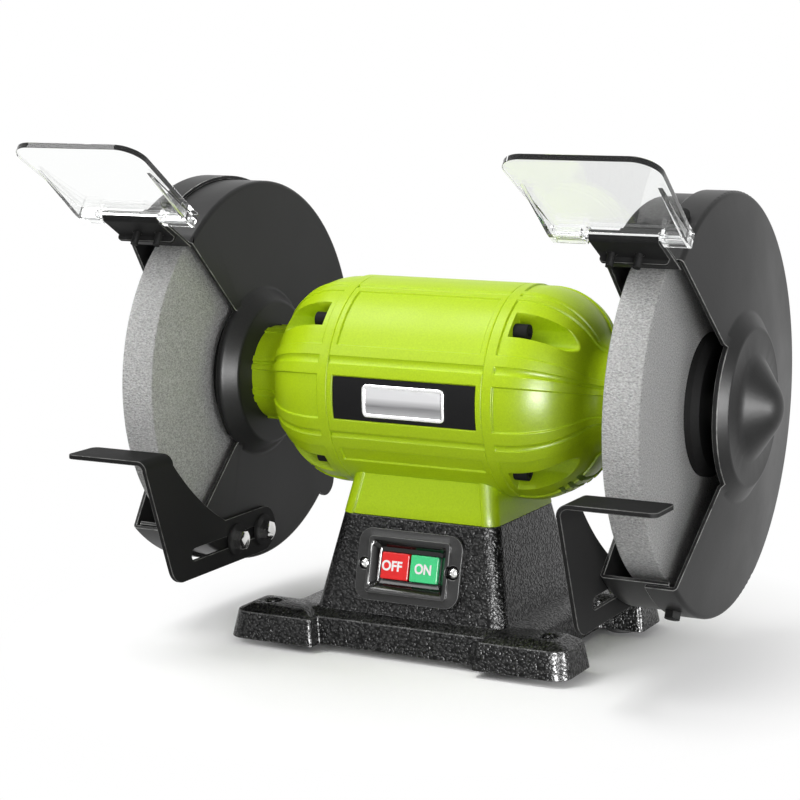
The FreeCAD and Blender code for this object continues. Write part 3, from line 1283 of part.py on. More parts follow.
PAIRED_PIECES = {
    "end_bell": make_end_bell,
    "bell_screws": make_bell_screws,
    "bearing_outer_ring": make_bearing_outer,
    "bearing_inner_ring": make_bearing_inner,
    "bearing_balls": make_bearing_balls,
    "grinding_wheel": make_wheel,
    "inner_flange": make_inner_flange,
    "outer_flange": make_outer_flange,
    "wheel_nut": make_wheel_nut,
    "wheel_guard": make_guard,
    "guard_screws": make_guard_screws,
    "guard_cover": make_cover,
    "cover_bolts": make_cover_bolts,
    "tool_rest": make_tool_rest,
    "rest_bolts": make_rest_bolts,
    "rest_washers": make_rest_washers,
    "shield_bracket": make_shield_bracket,
    "bracket_screws": make_bracket_screws,
    "hinge_rod": make_hinge_rod,
    "eye_shield": make_eye_shield,
}

os.makedirs("parts", exist_ok=True)
for name, make in SINGLE_PIECES.items():
    make().exportStep("parts/" + name + ".step")
for name, make in PAIRED_PIECES.items():
    piece = make()
    piece.exportStep("parts/right_" + name + ".step")
    mirrored(piece).exportStep("parts/left_" + name + ".step")
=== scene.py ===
import json
import math

import bmesh
import bpy
import numpy as np
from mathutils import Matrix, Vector


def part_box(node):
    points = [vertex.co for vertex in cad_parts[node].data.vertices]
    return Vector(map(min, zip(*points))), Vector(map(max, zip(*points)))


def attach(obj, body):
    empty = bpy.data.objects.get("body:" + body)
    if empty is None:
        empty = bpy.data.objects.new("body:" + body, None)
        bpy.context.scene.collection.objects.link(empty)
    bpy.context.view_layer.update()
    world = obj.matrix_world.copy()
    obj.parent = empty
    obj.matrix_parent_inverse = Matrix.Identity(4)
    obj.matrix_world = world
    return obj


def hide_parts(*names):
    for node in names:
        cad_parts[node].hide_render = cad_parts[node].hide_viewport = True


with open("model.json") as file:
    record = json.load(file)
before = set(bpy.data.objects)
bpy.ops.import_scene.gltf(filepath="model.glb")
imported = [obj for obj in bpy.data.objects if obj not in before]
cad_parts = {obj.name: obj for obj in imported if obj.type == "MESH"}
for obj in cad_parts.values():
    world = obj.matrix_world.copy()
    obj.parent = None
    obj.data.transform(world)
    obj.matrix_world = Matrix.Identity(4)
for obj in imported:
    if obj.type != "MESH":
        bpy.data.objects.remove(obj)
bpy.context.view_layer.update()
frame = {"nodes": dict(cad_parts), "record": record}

# Bench grinder. Lengths are in millimetres and turn into metres where a mesh is made.
# Angles round the shaft are in degrees from the operator's side upwards.
MM = 0.001
SIDES = ((-1, "left_"), (1, "right_"))

# The photograph's point of view
VIEW_AZIMUTH = math.radians(27.10)
VIEW_ELEVATION = math.radians(9.05)
VIEW_TARGET = Vector((-30.98, 0.0, 131.08)) * MM
VIEW_DISTANCE = 1219.29 * MM
VIEW_LENS = 97.86
SENSOR_WIDTH = 36.0

# Floor, in metres: half its side, and where it fades to white
FLOOR_HALF = 3
FLOOR_FADE = (0.09, 0.25)


def box_mm(node):
    """Low and high corner of a solid's box."""
    low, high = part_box(node)
    return low / MM, high / MM


BELL_LOW, BELL_HIGH = box_mm("right_end_bell")
AXIS_Z = sum(corner.z for corner in box_mm("shaft")) / 2

# Motor housing and end bells
HOUSING_R = (BELL_HIGH.z - BELL_LOW.z) / 2
HOUSING_BORE_R = HOUSING_R - 5.0
NECK_END_X = BELL_HIGH.x
BARREL_HALF = 46.0
BAND_HALF = 42.5
BELL_BAND_X = 52.0
SHOULDER_X = 56.0
SHOULDER_R = 40.0
BLEND_R = 12.0
NECK_R = 27.5
SEAM_ROUND = 0.45
PANEL_DEPTH = 1.0
GROOVE_DEPTH = 1.1
EDGE_SOFT = 0.8
FRONT_PANEL = (-14.0, 9.8)
SHOULDER_PANEL = (26.6, 63.9)
BARREL_PANELS = (FRONT_PANEL, SHOULDER_PANEL, (-41.0, -32.2))
BELL_PANELS = (FRONT_PANEL, SHOULDER_PANEL, (-69.0, -32.2), (74.0, 106.0), (-103.0, -77.0))
RIB_GROOVES = ((15.9, 20.6), (-25.0, -21.3), (67.4, 70.6))
POCKET_ANGLES = (46.0, -49.0, 134.0, -131.0)
POCKET_FLOOR_X = 55.5
POCKET_FLOOR_SOFT = 0.15
POCKET_HALF_ANGLE = 8.0
POCKET_EDGE = (7.6, 8.2)
POCKET_BOTTOM_R = 40.0
POCKET_SIDE_R = 46.5
POCKET_SOFT = 0.25
POCKET_SCREW_R = 51.0
VENT_X = (76.6, 81.2, 85.8)
VENT_WIDTH = 2.2
VENT_ANGLES = (-114.0, -66.0)
VENT_END_SOFT = 1.2
VENT_DEPTH = 4.2
SHAFT_HOLE_R = 14.0
LEAST_WALL = 2.0
WALL_REACH = 3.5
# Inside of a bell, from the shaft's hole past the bearing's seat to the seam
BELL_INSIDE = (
    (NECK_END_X, SHAFT_HOLE_R), (105.0, SHAFT_HOLE_R), (105.0, 20.05), (89.0, 20.05),
    (88.8, 27.0), (84.0, 36.0), (79.0, 42.0), (74.0, 46.3), (68.0, 49.6), (62.0, 51.6),
    (56.0, 52.5), (52.0, 52.5), (BARREL_HALF, 52.5))
# Where the rows of points stand close: over a soft edge, a groove, a pocket, a vent and the seam
EDGE_STEPS = (-0.8, -0.5, -0.3, -0.1, 0.1, 0.3, 0.5, 0.8)
GROOVE_STEPS = (-1.1, -1.0, -0.96, -0.85, -0.6, -0.3, 0.0, 0.3, 0.6, 0.85, 0.96, 1.0, 1.1)
POCKET_STEPS = (0.0, 1.0, 2.0, 3.0, 4.0, 5.0, 6.0, 6.8, 7.3, 7.55, 7.75, 7.95, 8.15, 8.4, 9.0, 10.0)
VENT_STEPS = (-1.3, -1.15, -1.0, -0.5, 0.5, 1.0, 1.15, 1.3)
BAND_STEPS = (0.6, 1.5, 3.0, 4.5, 5.4, 5.6, 5.8, 6.0, 6.2, 6.4, 6.6, 7.5, 8.5, 9.2, 9.4, 9.5, 9.6,
              9.8)
BARREL_STEPS = (0.0, 10.0, 20.0, 30.0, 38.0)
BARREL_END_STEPS = (44.5, 45.3)
BORE_STEPS = (BARREL_HALF, 20.0, -20.0, -BARREL_HALF)
SEAM_STEPS = ((0.0, 1.0), (0.15, 0.4), (0.5, 0.12))
RIB_ANGLE_STEP = 2.5
LEAST_ANGLE_STEP = 0.08
LEAST_ROW_STEP = 0.07

# Pedestal, saddle and switch face
DECK_Z = 21.8
SADDLE_FOOT_Z = box_mm("base_casting")[1].z
SADDLE_HEIGHTS = (80.0, 90.0, 100.0, 108.0)
SADDLE_FOOT_STEPS = ((0.0, 0.6), (0.15, 0.2), (0.6, 0.0))
SADDLE_CORNER_R = 7.6
SADDLE_RECESS = 0.9
SADDLE_RECESS_STEPS = ((0.1, 0.06), (0.35, 0.5), (0.6, 0.94), (0.9, 1.0))
PEDESTAL_HALF_X = 47.1
PEDESTAL_HALF_Y = 41.3
PEDESTAL_LEAN_X = 0.1965
PEDESTAL_LEAN_Y = 0.23346
FACE_LEAN = math.atan(PEDESTAL_LEAN_Y)
SWITCH_X = -0.7
SWITCH_UP = 26.78
SWITCH_SCREW_AT = 26.55
SWITCH_RECESSES = ((-SWITCH_SCREW_AT, 3.5), (SWITCH_SCREW_AT, 3.9))
RECESS_FLOOR = 0.9
RECESS_TOP = 4.6
RECESS_INNER = 3.4
MOUTH_HALF_X = 22.0
MOUTH_HALF_Y = 13.1
BUTTON_FACE = 1.2
LETTER_HEIGHT = 5.7
LETTER_SINK = 0.05
LETTER_DEPTH = 0.17
LETTER_BOLD = 0.03

# Badge plate on the nameplate, its relief given as steps in from the edge and up
LABEL_FACE_R = 58.1
BADGE_X = 0.1
BADGE_ANGLE = -2.5
BADGE_HALF_X = 24.5
BADGE_HALF_ARC = 9.1
BADGE_CORNER_R = 2.9
BADGE_LEAST_CORNER_R = 0.6
BADGE_FIELD_LIFT = 0.25
BADGE_RELIEF = ((0.0, -0.05), (0.0, 0.35), (0.2, 0.6), (0.6, 0.78), (1.1, 0.8), (1.6, 0.66),
                (1.95, 0.42), (2.1, BADGE_FIELD_LIFT), (2.5, BADGE_FIELD_LIFT))

# Bolts of the rests and covers, screws of the shield brackets
REST_FACE_X = 117.5
REST_BOLT_Y = (-36.0, -7.0)
REST_BOLT_Z = 49.6
COVER_R = 111.5
COVER_BOLT_X = 150.5
COVER_BOLT_ANGLES = (64.0, -64.0, 180.0)
FLANGE_LEAN = math.radians(30.0)
FLANGE_CORNER_ANGLE = 47.0
BRACKET_SCREW_AT = 14.0
BRACKET_SCREW_SINK = 0.3
CAP_SCREW = {"Head Radius": 4.3, "Head Height": 8.0, "Socket Across Flats": 4.4,
             "Shank Radius": 2.5, "Shank Length": 14.0}
REST_BOLT = {"Across Flats": 10.0, "Head Height": 5.0, "Shank Radius": 3.0, "Shank Length": 10.0}
RIM_BOLT = {"Across Flats": 8.0, "Head Height": 4.0, "Shank Radius": 2.5, "Shank Length": 6.0}
WASHER = {"Radius": 9.2, "Bore Radius": 3.25, "Thickness": 1.4}
CROSS_SCREW = {"Head Radius": 2.9, "Head Height": 1.9, "Shank Radius": 1.7, "Shank Length": 6.0}
THREADED_SCREW = {"Head Radius": 4.0, "Head Height": 2.4, "Thread Radius": 2.1,
                  "Thread Length": 11.5, "Pitch": 0.8}

# Shapes of the fasteners, as shares of their sizes
HEX_TOP = 0.46
CAP_TOP = 0.9
PAN_TOP = 0.85
WASHER_TOP = 0.96
SOCKET_FLOOR = 0.5
DOME_BALL = 1.25
CROSS_LONG = 1.1
CROSS_SHORT = 0.3
THREAD_DEPTH = 0.16
THREAD_INTO_HEAD = 0.4
# Spread of the cone that cuts a head at 30 degrees, and the range of a fastener's own turn
CONE_SPREAD = 1.732
FULL_TURN = 6.283

# Corners of guards and covers that are rounded wider than the rest
BOSS_X = 122.5
BOSS_R = 53.0
RING_X = 158.0
RING_R = (35.0, 56.0)
NOTCH_Y = -30.0
NOTCH_RING_R = 46.0
SOFT_STEPS = 5
RING_ANGLE = 20.0
RING_END_GAP = 5.0

# Corners sharper than this are rounded, and marked for wear and a painted highlight
ROUND_ANGLE = 52.0
ROUND_STEPS = 2
FLAT_ANGLE = 0.4


# Shader building blocks

def fill(tree, node, inputs):
    """Joins each input to a socket, or gives it a value."""
    for name, value in inputs.items():
        if isinstance(value, bpy.types.NodeSocket):
            tree.links.new(value, node.inputs[name])
        else:
            node.inputs[name].default_value = value


def put(tree, kind, inputs=None, **settings):
    """Adds a node with its settings and inputs."""
    node = tree.nodes.new(kind)
    for name, value in settings.items():
        setattr(node, name, value)
    fill(tree, node, inputs or {})
    return node


def made(tree, kind, inputs=None, output=0, **settings):
    """Adds a node and gives one of its outputs."""
    return put(tree, kind, inputs, **settings).outputs[output]


def maths(tree, operation, first, second=0.0):
    return made(tree, "ShaderNodeMath", {0: first, 1: second}, operation=operation)


def times(tree, value, factor):
    return maths(tree, "MULTIPLY", value, factor)


def spread(tree, value, low, high, to_low, to_high):
    """Takes a range of a mask to another range, held at both ends."""
    inputs = {"Value": value, "From Min": low, "From Max": high,
              "To Min": to_low, "To Max": to_high}
    return made(tree, "ShaderNodeMapRange", inputs, clamp=True)


def between(tree, mask, low, high):
    """Takes a mask from 0 to 1 to another range."""
    return spread(tree, mask, 0.0, 1.0, low, high)


def blend(tree, factor, first, second):
    """Mixes two colours by a mask."""
    return made(tree, "ShaderNodeMix", {0: factor, 6: first, 7: second}, 2, data_type="RGBA")


def noise(tree, place, scale, detail, roughness=0.5):
    inputs = {"Vector": place, "Scale": scale, "Detail": detail, "Roughness": roughness}
    return put(tree, "ShaderNodeTexNoise", inputs).outputs


def shifted(tree, operation, inputs):
    return made(tree, "ShaderNodeVectorMath", inputs, operation=operation)


def bump(tree, height, strength, depth):
    inputs = {"Height": height, "Strength": strength, "Distance": depth * MM}
    return made(tree, "ShaderNodeBump", inputs)


def colour(red, green, blue):
    return (red, green, blue, 1.0)


def grey(value):
    return (value, value, value)


def add_socket(tree, label, way, kind):
    return tree.interface.new_socket(label, in_out=way, socket_type="NodeSocket" + kind)


def shader_group(pattern, sizes):
    """Group of a pattern's nodes, with the sizes that it takes and the masks that it gives."""
    group = bpy.data.node_groups.new(pattern.__name__, "ShaderNodeTree")
    for label, value in sizes.items():
        add_socket(group, label, "INPUT", "Float").default_value = value
    entry = group.nodes.new("NodeGroupInput").outputs
    masks = pattern(group, entry, made(group, "ShaderNodeTexCoord", output="Object"))
    for label in masks:
        add_socket(group, label, "OUTPUT", "Float")
    put(group, "NodeGroupOutput", masks)
    return group


def powder_grain(tree, size, place):
    """Fine grain of a sprayed finish: a soft orange peel with small specks on it."""
    speck = noise(tree, place, size["Grain per metre"], 3.0)["Fac"]
    peel = noise(tree, place, size["Peel per metre"], 1.0)["Fac"]
    fine = spread(tree, speck, 0.25, 0.75, 0.0, 1.0)
    return {"Speck": fine, "Height": maths(tree, "ADD", fine, times(tree, peel, 1.4))}


def cast_wrinkle(tree, size, place):
    """Worm-like wrinkles of the textured enamel on the castings, with a mask of their tops, which
    get gloss and a lighter colour than the painted shade in the hollows.
    """
    drift = noise(tree, place, 380.0, 2.0)["Color"]
    centred = shifted(tree, "SUBTRACT", {0: drift, 1: grey(0.5)})
    swing = shifted(tree, "SCALE", {0: centred, "Scale": size["Twist"]})
    moved = shifted(tree, "ADD", {0: place, 1: swing})
    inputs = {"Vector": moved, "Scale": size["Wrinkles per metre"]}
    worm = made(tree, "ShaderNodeTexVoronoi", inputs, "Distance", feature="SMOOTH_F1")
    grit = noise(tree, place, 2300.0, 3.0)["Fac"]
    raised = spread(tree, worm, 0.15, 0.62, 1.0, 0.0)
    return {"Top": raised, "Height": maths(tree, "ADD", raised, times(tree, grit, 0.25))}


def abrasive_grain(tree, size, place):
    """Bonded grit: dense fine grains, drawn out a little aslant by the dressing tool."""
    inputs = {"Vector": place, "Rotation": (0.75, 0.0, 0.0), "Scale": (1.0, 1.0, 1.7)}
    aslant = made(tree, "ShaderNodeMapping", inputs)
    coarse = noise(tree, aslant, size["Grains per metre"], 3.0, 0.6)["Fac"]
    return {"Grain": spread(tree, coarse, 0.3, 0.7, 0.0, 1.0)}


def corner_rub_and_highlight(tree, size, place):
    """Corners lightened as wear and as a painted highlight, from the mark that the rounding leaves
    on them, broken up into patches.
    """
    corner = made(tree, "ShaderNodeAttribute", output="Fac", attribute_name="rub_and_highlight_edge")
    patch = noise(tree, place, size["Patches per metre"], 4.0)["Fac"]
    return {"Rub_and_highlight": times(tree, corner, spread(tree, patch, 0.32, 0.58, 0.25, 1.0))}


def handling_marks(tree, size, place):
    """Slow change of gloss from handling and from the spray gun."""
    wide = noise(tree, place, size["Marks per metre"], 5.0)["Fac"]
    return {"Mark": spread(tree, wide, 0.3, 0.7, 0.0, 1.0)}


def brush_lines(tree, size, place):
    """Fine parallel lines left by a brush or a lathe tool, across X."""
    squeeze = made(tree, "ShaderNodeCombineXYZ", {"X": size["Stretch"], "Y": 1.0, "Z": 1.0})
    drawn = shifted(tree, "MULTIPLY", {0: place, 1: squeeze})
    return {"Line": noise(tree, drawn, size["Lines per metre"], 2.0)["Fac"]}


POWDER_GRAIN = shader_group(powder_grain, {"Grain per metre": 1500.0, "Peel per metre": 420.0})
CAST_WRINKLE = shader_group(cast_wrinkle, {"Wrinkles per metre": 760.0, "Twist": 0.0014})
ABRASIVE_GRAIN = shader_group(abrasive_grain, {"Grains per metre": 780.0})
CORNER_RUB_AND_HIGHLIGHT = shader_group(corner_rub_and_highlight, {"Patches per metre": 160.0})
HANDLING_MARKS = shader_group(handling_marks, {"Marks per metre": 26.0})
BRUSH_LINES = shader_group(brush_lines, {"Lines per metre": 4200.0, "Stretch": 0.03})


def finish(name, look, *values):
    """Material with the shader's inputs that a look gives."""
    material = bpy.data.materials.new(name)
    material.use_nodes = True
    tree = material.node_tree
    fill(tree, tree.nodes["Principled BSDF"], look(tree, *values))
    return material


def use(tree, group, inputs=None):
    return put(tree, "ShaderNodeGroup", inputs, node_tree=group).outputs


def gloss_marks(tree, marks_per_metre=26.0):
    return use(tree, HANDLING_MARKS, {"Marks per metre": marks_per_metre})["Mark"]


def with_rub_and_highlight(tree, under, rub_highlight_tint):
    """A colour with another showing on the marked corners, as wear and as a painted highlight."""
    return blend(tree, use(tree, CORNER_RUB_AND_HIGHLIGHT)["Rub_and_highlight"], under, rub_highlight_tint)


def sprayed(tree, dark, light, rub_highlight_colour, rough, relief, shine, grain=1500.0):
    """A sprayed or blacked finish: specks of colour, patches of gloss, grain, and edges lightened
    as wear and as a painted highlight.
    """
    skin = use(tree, POWDER_GRAIN, {"Grain per metre": grain})
    speckled = blend(tree, skin["Speck"], colour(*dark), colour(*light))
    return {
        # Edges take a lighter colour as wear and as a painted highlight
        "Base Color": with_rub_and_highlight(tree, speckled, colour(*rub_highlight_colour)),
        "Roughness": between(tree, gloss_marks(tree), rough - 0.03, rough + 0.04),
        "Normal": bump(tree, skin["Height"], 0.5, relief),
        "Specular IOR Level": shine}


def metal(tree, dark, light, rough, lines=4200.0, stretch=0.03, relief=0.004):
    """Bare or plated metal with tool lines, patches of gloss, and edges made bright as wear and as
    a painted highlight.
    """
    line = use(tree, BRUSH_LINES, {"Lines per metre": lines, "Stretch": stretch})["Line"]
    drawn = blend(tree, line, colour(*dark), colour(*light))
    # The lighter colour of the edges stands for wear and a painted highlight
    bright = colour(*(min(1.0, value * 1.15) for value in light))
    return {
        "Base Color": with_rub_and_highlight(tree, drawn, bright),
        "Roughness": between(tree, gloss_marks(tree, 90.0), rough, rough + 0.1),
        "Normal": bump(tree, line, 0.35, relief),
        "Metallic": 1.0}


def black_casting(tree):
    """Black textured enamel: hollows painted darker as shade, glossy tops."""
    skin = use(tree, CAST_WRINKLE)
    # Wrinkle hollows get a darker colour as painted shade
    hollow_shaded = blend(tree, skin["Top"], colour(0.002, 0.002, 0.0022), colour(*grey(0.016)))
    return {
        # Edges lighter as wear and as a painted highlight
        "Base Color": with_rub_and_highlight(tree, hollow_shaded, colour(*grey(0.07))),
        "Roughness": between(tree, gloss_marks(tree, 40.0), 0.24, 0.32),
        "Normal": bump(tree, skin["Height"], 1.0, 0.36),
        "Coat Weight": spread(tree, skin["Top"], 0.2, 1.0, 0.0, 0.6),
        "Coat Roughness": 0.24,
        "Specular IOR Level": 0.14}


def abrasive(tree):
    """Grey bonded wheel: grains of two greys with dust between them."""
    grain = use(tree, ABRASIVE_GRAIN)["Grain"]
    specks = blend(tree, grain, colour(0.28, 0.28, 0.275), colour(0.72, 0.72, 0.71))
    dusty = between(tree, gloss_marks(tree, 18.0), 0.0, 0.2)
    return {
        "Base Color": blend(tree, dusty, specks, colour(0.48, 0.48, 0.472)),
        "Roughness": between(tree, grain, 0.6, 0.85),
        "Normal": bump(tree, grain, 1.0, 0.7),
        "Specular IOR Level": 0.3}


def clear_plastic(tree):
    """Clear moulded sheet with the faintest tint and patches of gloss."""
    mark = gloss_marks(tree, 14.0)
    return {
        "Base Color": blend(tree, mark, colour(0.98, 0.992, 0.98), colour(0.985, 0.992, 0.988)),
        "Roughness": between(tree, mark, 0.0, 0.03),
        "Transmission Weight": 1.0,
        "IOR": 1.45}


def badge_field(tree):
    """Satin silver face with a painted reflection: pale at its top, a dark band below the middle,
    paler at its foot.
    """
    place = made(tree, "ShaderNodeTexCoord", output="Object")
    height = made(tree, "ShaderNodeSeparateXYZ", {"Vector": place}, "Z")
    # Heights of the painted reflection's bands
    band, top, foot = ((AXIS_Z - drop) * MM for drop in (5.0, 0.5, 9.5))
    upper = spread(tree, height, band, top, 0.0, 1.0)
    lower = spread(tree, height, foot, band, 0.55, 0.0)
    line = use(tree, BRUSH_LINES, {"Lines per metre": 3600.0, "Stretch": 0.02})["Line"]
    # The bands by height are a painted reflection in the curved plate
    tone = blend(tree, maths(tree, "MAXIMUM", upper, lower),
                 colour(0.16, 0.16, 0.165), colour(0.62, 0.62, 0.63))
    lined = spread(tree, line, 0.2, 0.8, 0.0, 0.16)
    return {
        "Base Color": blend(tree, lined, tone, colour(0.82, 0.82, 0.83)),
        "Roughness": spread(tree, line, 0.2, 0.8, 0.30, 0.42),
        "Normal": bump(tree, line, 0.3, 0.004),
        "Metallic": 0.6}


# Dark specks, light specks, edges lightened as wear and as a painted highlight, roughness, height
# of the grain, shine
SPRAYED = {
    "lime_paint": ((0.36, 0.53, 0.002), (0.44, 0.62, 0.004), (0.58, 0.78, 0.03), 0.38, 0.06, 0.2,
                   1100.0),
    "grey_paint": (grey(0.016), grey(0.022), (0.36, 0.36, 0.35), 0.38, 0.02, 0.12),
    "black_steel": (grey(0.007), grey(0.011), (0.16, 0.16, 0.155), 0.62, 0.015, 0.07),
    "black_plastic": (grey(0.003), grey(0.005), grey(0.03), 0.14, 0.004, 0.4),
    "switch_plastic": (grey(0.021), grey(0.030), grey(0.15), 0.36, 0.02, 0.25),
    "black_label": ((0.0055, 0.0055, 0.006), (0.009, 0.009, 0.0095), grey(0.02), 0.5, 0.02, 0.08),
    "rubber": (grey(0.008), grey(0.014), grey(0.03), 0.72, 0.05, 0.3),
    "can": ((0.55, 0.55, 0.53), (0.62, 0.62, 0.60), grey(0.7), 0.34, 0.01, 0.5),
    "red_plastic": ((0.72, 0.010, 0.010), (0.80, 0.015, 0.015), (0.9, 0.1, 0.09), 0.3, 0.012, 0.35),
    "green_plastic": ((0.045, 0.56, 0.20), (0.06, 0.66, 0.25), (0.3, 0.85, 0.5), 0.3, 0.012, 0.35),
    "white_letters": (grey(0.84), grey(0.9), grey(0.9), 0.4, 0.005, 0.5),
    "pink_letters": ((0.86, 0.74, 0.80), (0.92, 0.80, 0.86), (0.9, 0.8, 0.85), 0.4, 0.005, 0.5),
}
# Dark lines, light lines, roughness, and where they differ: lines per metre, stretch, relief
METALS = {
    "steel_sheet": ((0.42, 0.42, 0.41), (0.52, 0.52, 0.51), 0.34),
    "zinc_steel": ((0.50, 0.50, 0.48), (0.62, 0.62, 0.60), 0.30),
    "chrome": ((0.62, 0.62, 0.61), (0.74, 0.74, 0.73), 0.08, 5200.0, 0.03, 0.001),
    "laminations": (grey(0.30), grey(0.42), 0.4, 2000.0, 20.0),
    "copper": ((0.55, 0.22, 0.09), (0.72, 0.32, 0.14), 0.3, 1300.0, 0.03, 0.08),
    "ground_steel": ((0.45, 0.45, 0.46), (0.55, 0.55, 0.56), 0.25),
    "badge_frame": (grey(0.78), grey(0.86), 0.18),
}
FINISHES = {look.__name__: finish(look.__name__, look)
            for look in (black_casting, abrasive, clear_plastic, badge_field)}
FINISHES.update({name: finish(name, sprayed, *values) for name, values in SPRAYED.items()})
FINISHES.update({name: finish(name, metal, *values) for name, values in METALS.items()})


# Mesh building blocks

BODIES = {node: body for body, nodes in frame["record"]["behaviour"]["bodies"].items()
          for node in nodes}


def add_object(name, data):
    thing = bpy.data.objects.new(name, data)
    bpy.context.scene.collection.objects.link(thing)
    return thing


def finished_mesh(thing):
    """The mesh that an object's modifiers or its text give."""
    bpy.context.view_layer.update()
    depsgraph = bpy.context.evaluated_depsgraph_get()
    return bpy.data.meshes.new_from_object(thing.evaluated_get(depsgraph))


def keep_result(piece):
    """Turns what the modifiers give into the piece's own mesh."""
    mesh = finished_mesh(piece)
    mesh.name = piece.name
    piece.modifiers.clear()
    piece.data = mesh


def shade(mesh, sharp):
    """Smooth, with corners above an angle kept sharp."""
    mesh.shade_smooth()
    mesh.set_sharp_from_angle(angle=math.radians(sharp))


def add_piece(name, mesh, slots, sharp=35.0, flat=False):
    """Puts a mesh in the scene as a smooth piece with its true corners kept sharp.

    With flat, the large faces alone set the shading, so that only the rounded corners turn.
    """
    for slot in slots:
        mesh.materials.append(FINISHES[slot])
    shade(mesh, sharp)
    piece = add_object(name, mesh)
    if flat:
        weigh = piece.modifiers.new("weigh", "WEIGHTED_NORMAL")
        weigh.mode = "FACE_AREA"
        weigh.weight = 100
        weigh.keep_sharp = True
        keep_result(piece)
    return piece


def stand_for(piece, node):
    """The piece takes a node's place and moves with its body."""
    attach(piece, BODIES[node])
    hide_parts(node)


def clean(mesh):
    """Merges doubled points and turns the faces outwards."""
    work = bmesh.new()
    work.from_mesh(mesh)
    bmesh.ops.remove_doubles(work, verts=work.verts, dist=0.001 * MM)
    bmesh.ops.recalc_face_normals(work, faces=work.faces)
    work.to_mesh(mesh)
    work.free()


def stacked(name, rings, closed_loop=False):
    """Closed mesh from rings of points: capped at both ends, or joined from last to first."""
    count = len(rings[0])
    points = [point for ring in rings for point in ring]
    faces = []
    if not closed_loop:
        faces = [tuple(range(count)), tuple(range(len(points) - count, len(points)))]
    for level in range(len(rings) if closed_loop else len(rings) - 1):
        low = level * count
        high = (level + 1) % len(rings) * count
        for column in range(count):
            beside = (column + 1) % count
            faces.append((low + column, low + beside, high + beside, high + column))
    mesh = bpy.data.meshes.new(name)
    mesh.from_pydata([Vector(point) * MM for point in points], [], faces)
    clean(mesh)
    return mesh


def joined(first, second, operation, name):
    """Boolean of two closed meshes."""
    one = add_object("one", first)
    two = add_object("two", second)
    cutter = one.modifiers.new("join", "BOOLEAN")
    cutter.object = two
    cutter.operation = operation
    cutter.solver = "EXACT"
    mesh = finished_mesh(one)
    mesh.name = name
    mesh.materials.clear()
    bpy.data.objects.remove(one)
    bpy.data.objects.remove(two)
    return mesh


def corner_edges(work, angle, hollow=True):
    """Edges where faces meet at more than the angle, with or without the inward corners."""
    edges = []
    for edge in work.edges:
        if len(edge.link_faces) == 2 and edge.calc_face_angle(0.0) > math.radians(angle):
            if hollow or edge.calc_face_angle_signed(0.0) > 0.0:
                edges.append(edge)
    return edges


def from_shaft(point):
    return math.hypot(point.y, point.z - AXIS_Z)


def ring_edges(work, wanted):
    """Edges round the shaft at one radius, picked by their middle, but not those next to a cut."""
    rings = []
    ends = []
    for edge in corner_edges(work, RING_ANGLE):
        first, second = (vert.co / MM for vert in edge.verts)
        along = abs(first.x - second.x)
        outward = abs(from_shaft(first) - from_shaft(second))
        if along > 0.1 or outward > 0.3:
            ends += [vert.co for vert in edge.verts]
        elif wanted((first + second) / 2):
            rings.append(edge)
    gap = RING_END_GAP * MM
    return [edge for edge in rings
            if all((vert.co - end).length > gap for vert in edge.verts for end in ends)]


def rounded(work, edges, width, segments):
    """Rounds the edges and gives the new faces."""
    result = bmesh.ops.bevel(work, geom=edges, offset=width * MM, offset_type="OFFSET",
                             segments=segments, profile=0.5, affect="EDGES", clamp_overlap=False)
    return result["faces"]


def dressed_mesh(node, width, soft=None, soft_width=0.0, cuts=()):
    """Copy of a solid's mesh, cut where asked, with rounded corners that are marked for wear and a
    painted highlight.

    The ring edges that soft picks are rounded wider, and are not marked.
    """
    mesh = bpy.data.meshes.new(node + "_skin")
    work = bmesh.new()
    work.from_mesh(frame["nodes"][node].data)
    bmesh.ops.remove_doubles(work, verts=work.verts, dist=0.002 * MM)
    for cut in cuts:
        work.to_mesh(mesh)
        mesh = joined(mesh, cut, "DIFFERENCE", node + "_skin")
        work.clear()
        work.from_mesh(mesh)
    bmesh.ops.dissolve_limit(work, angle_limit=math.radians(FLAT_ANGLE), verts=work.verts,
                             edges=work.edges)
    bmesh.ops.triangulate(work, faces=[face for face in work.faces if len(face.verts) > 4])
    if soft is not None:
        rounded(work, ring_edges(work, soft), soft_width, SOFT_STEPS)
    edges = corner_edges(work, ROUND_ANGLE, hollow=False)
    # The mark tells the finishes where to paint wear and a highlight
    mark = work.loops.layers.float.new("rub_and_highlight_edge")
    for face in rounded(work, edges, width, ROUND_STEPS):
        for loop in face.loops:
            loop[mark] = 1.0
    work.to_mesh(mesh)
    work.free()
    return mesh


def dress(node, slot, width, smooth=True, sharp=35.0, **rounding):
    """Rounded copy of a solid; without smooth, only its rounded corners are shaded as curved."""
    mesh = dressed_mesh(node, width, **rounding)
    piece = add_piece(node + "_skin", mesh, [slot], sharp, flat=smooth)
    if not smooth:
        mark = mesh.attributes["rub_and_highlight_edge"].data
        for face in mesh.polygons:
            face.use_smooth = mark[face.loop_start].value > 0.5
    stand_for(piece, node)


def circle(radius, count):
    turns = [2 * math.pi * step / count for step in range(count)]
    return [(radius * math.cos(turn), radius * math.sin(turn)) for turn in turns]


def rounded_outline(half_u, half_v, corner, steps):
    """Rectangle with round corners, anticlockwise."""
    outline = []
    corners = ((half_u, -half_v, -90), (half_u, half_v, 0),
               (-half_u, half_v, 90), (-half_u, -half_v, 180))
    for u, v, start in corners:
        centre_u = u - math.copysign(corner, u)
        centre_v = v - math.copysign(corner, v)
        for step in range(steps + 1):
            turn = math.radians(start + 90 * step / steps)
            outline.append((centre_u + corner * math.cos(turn), centre_v + corner * math.sin(turn)))
    return outline


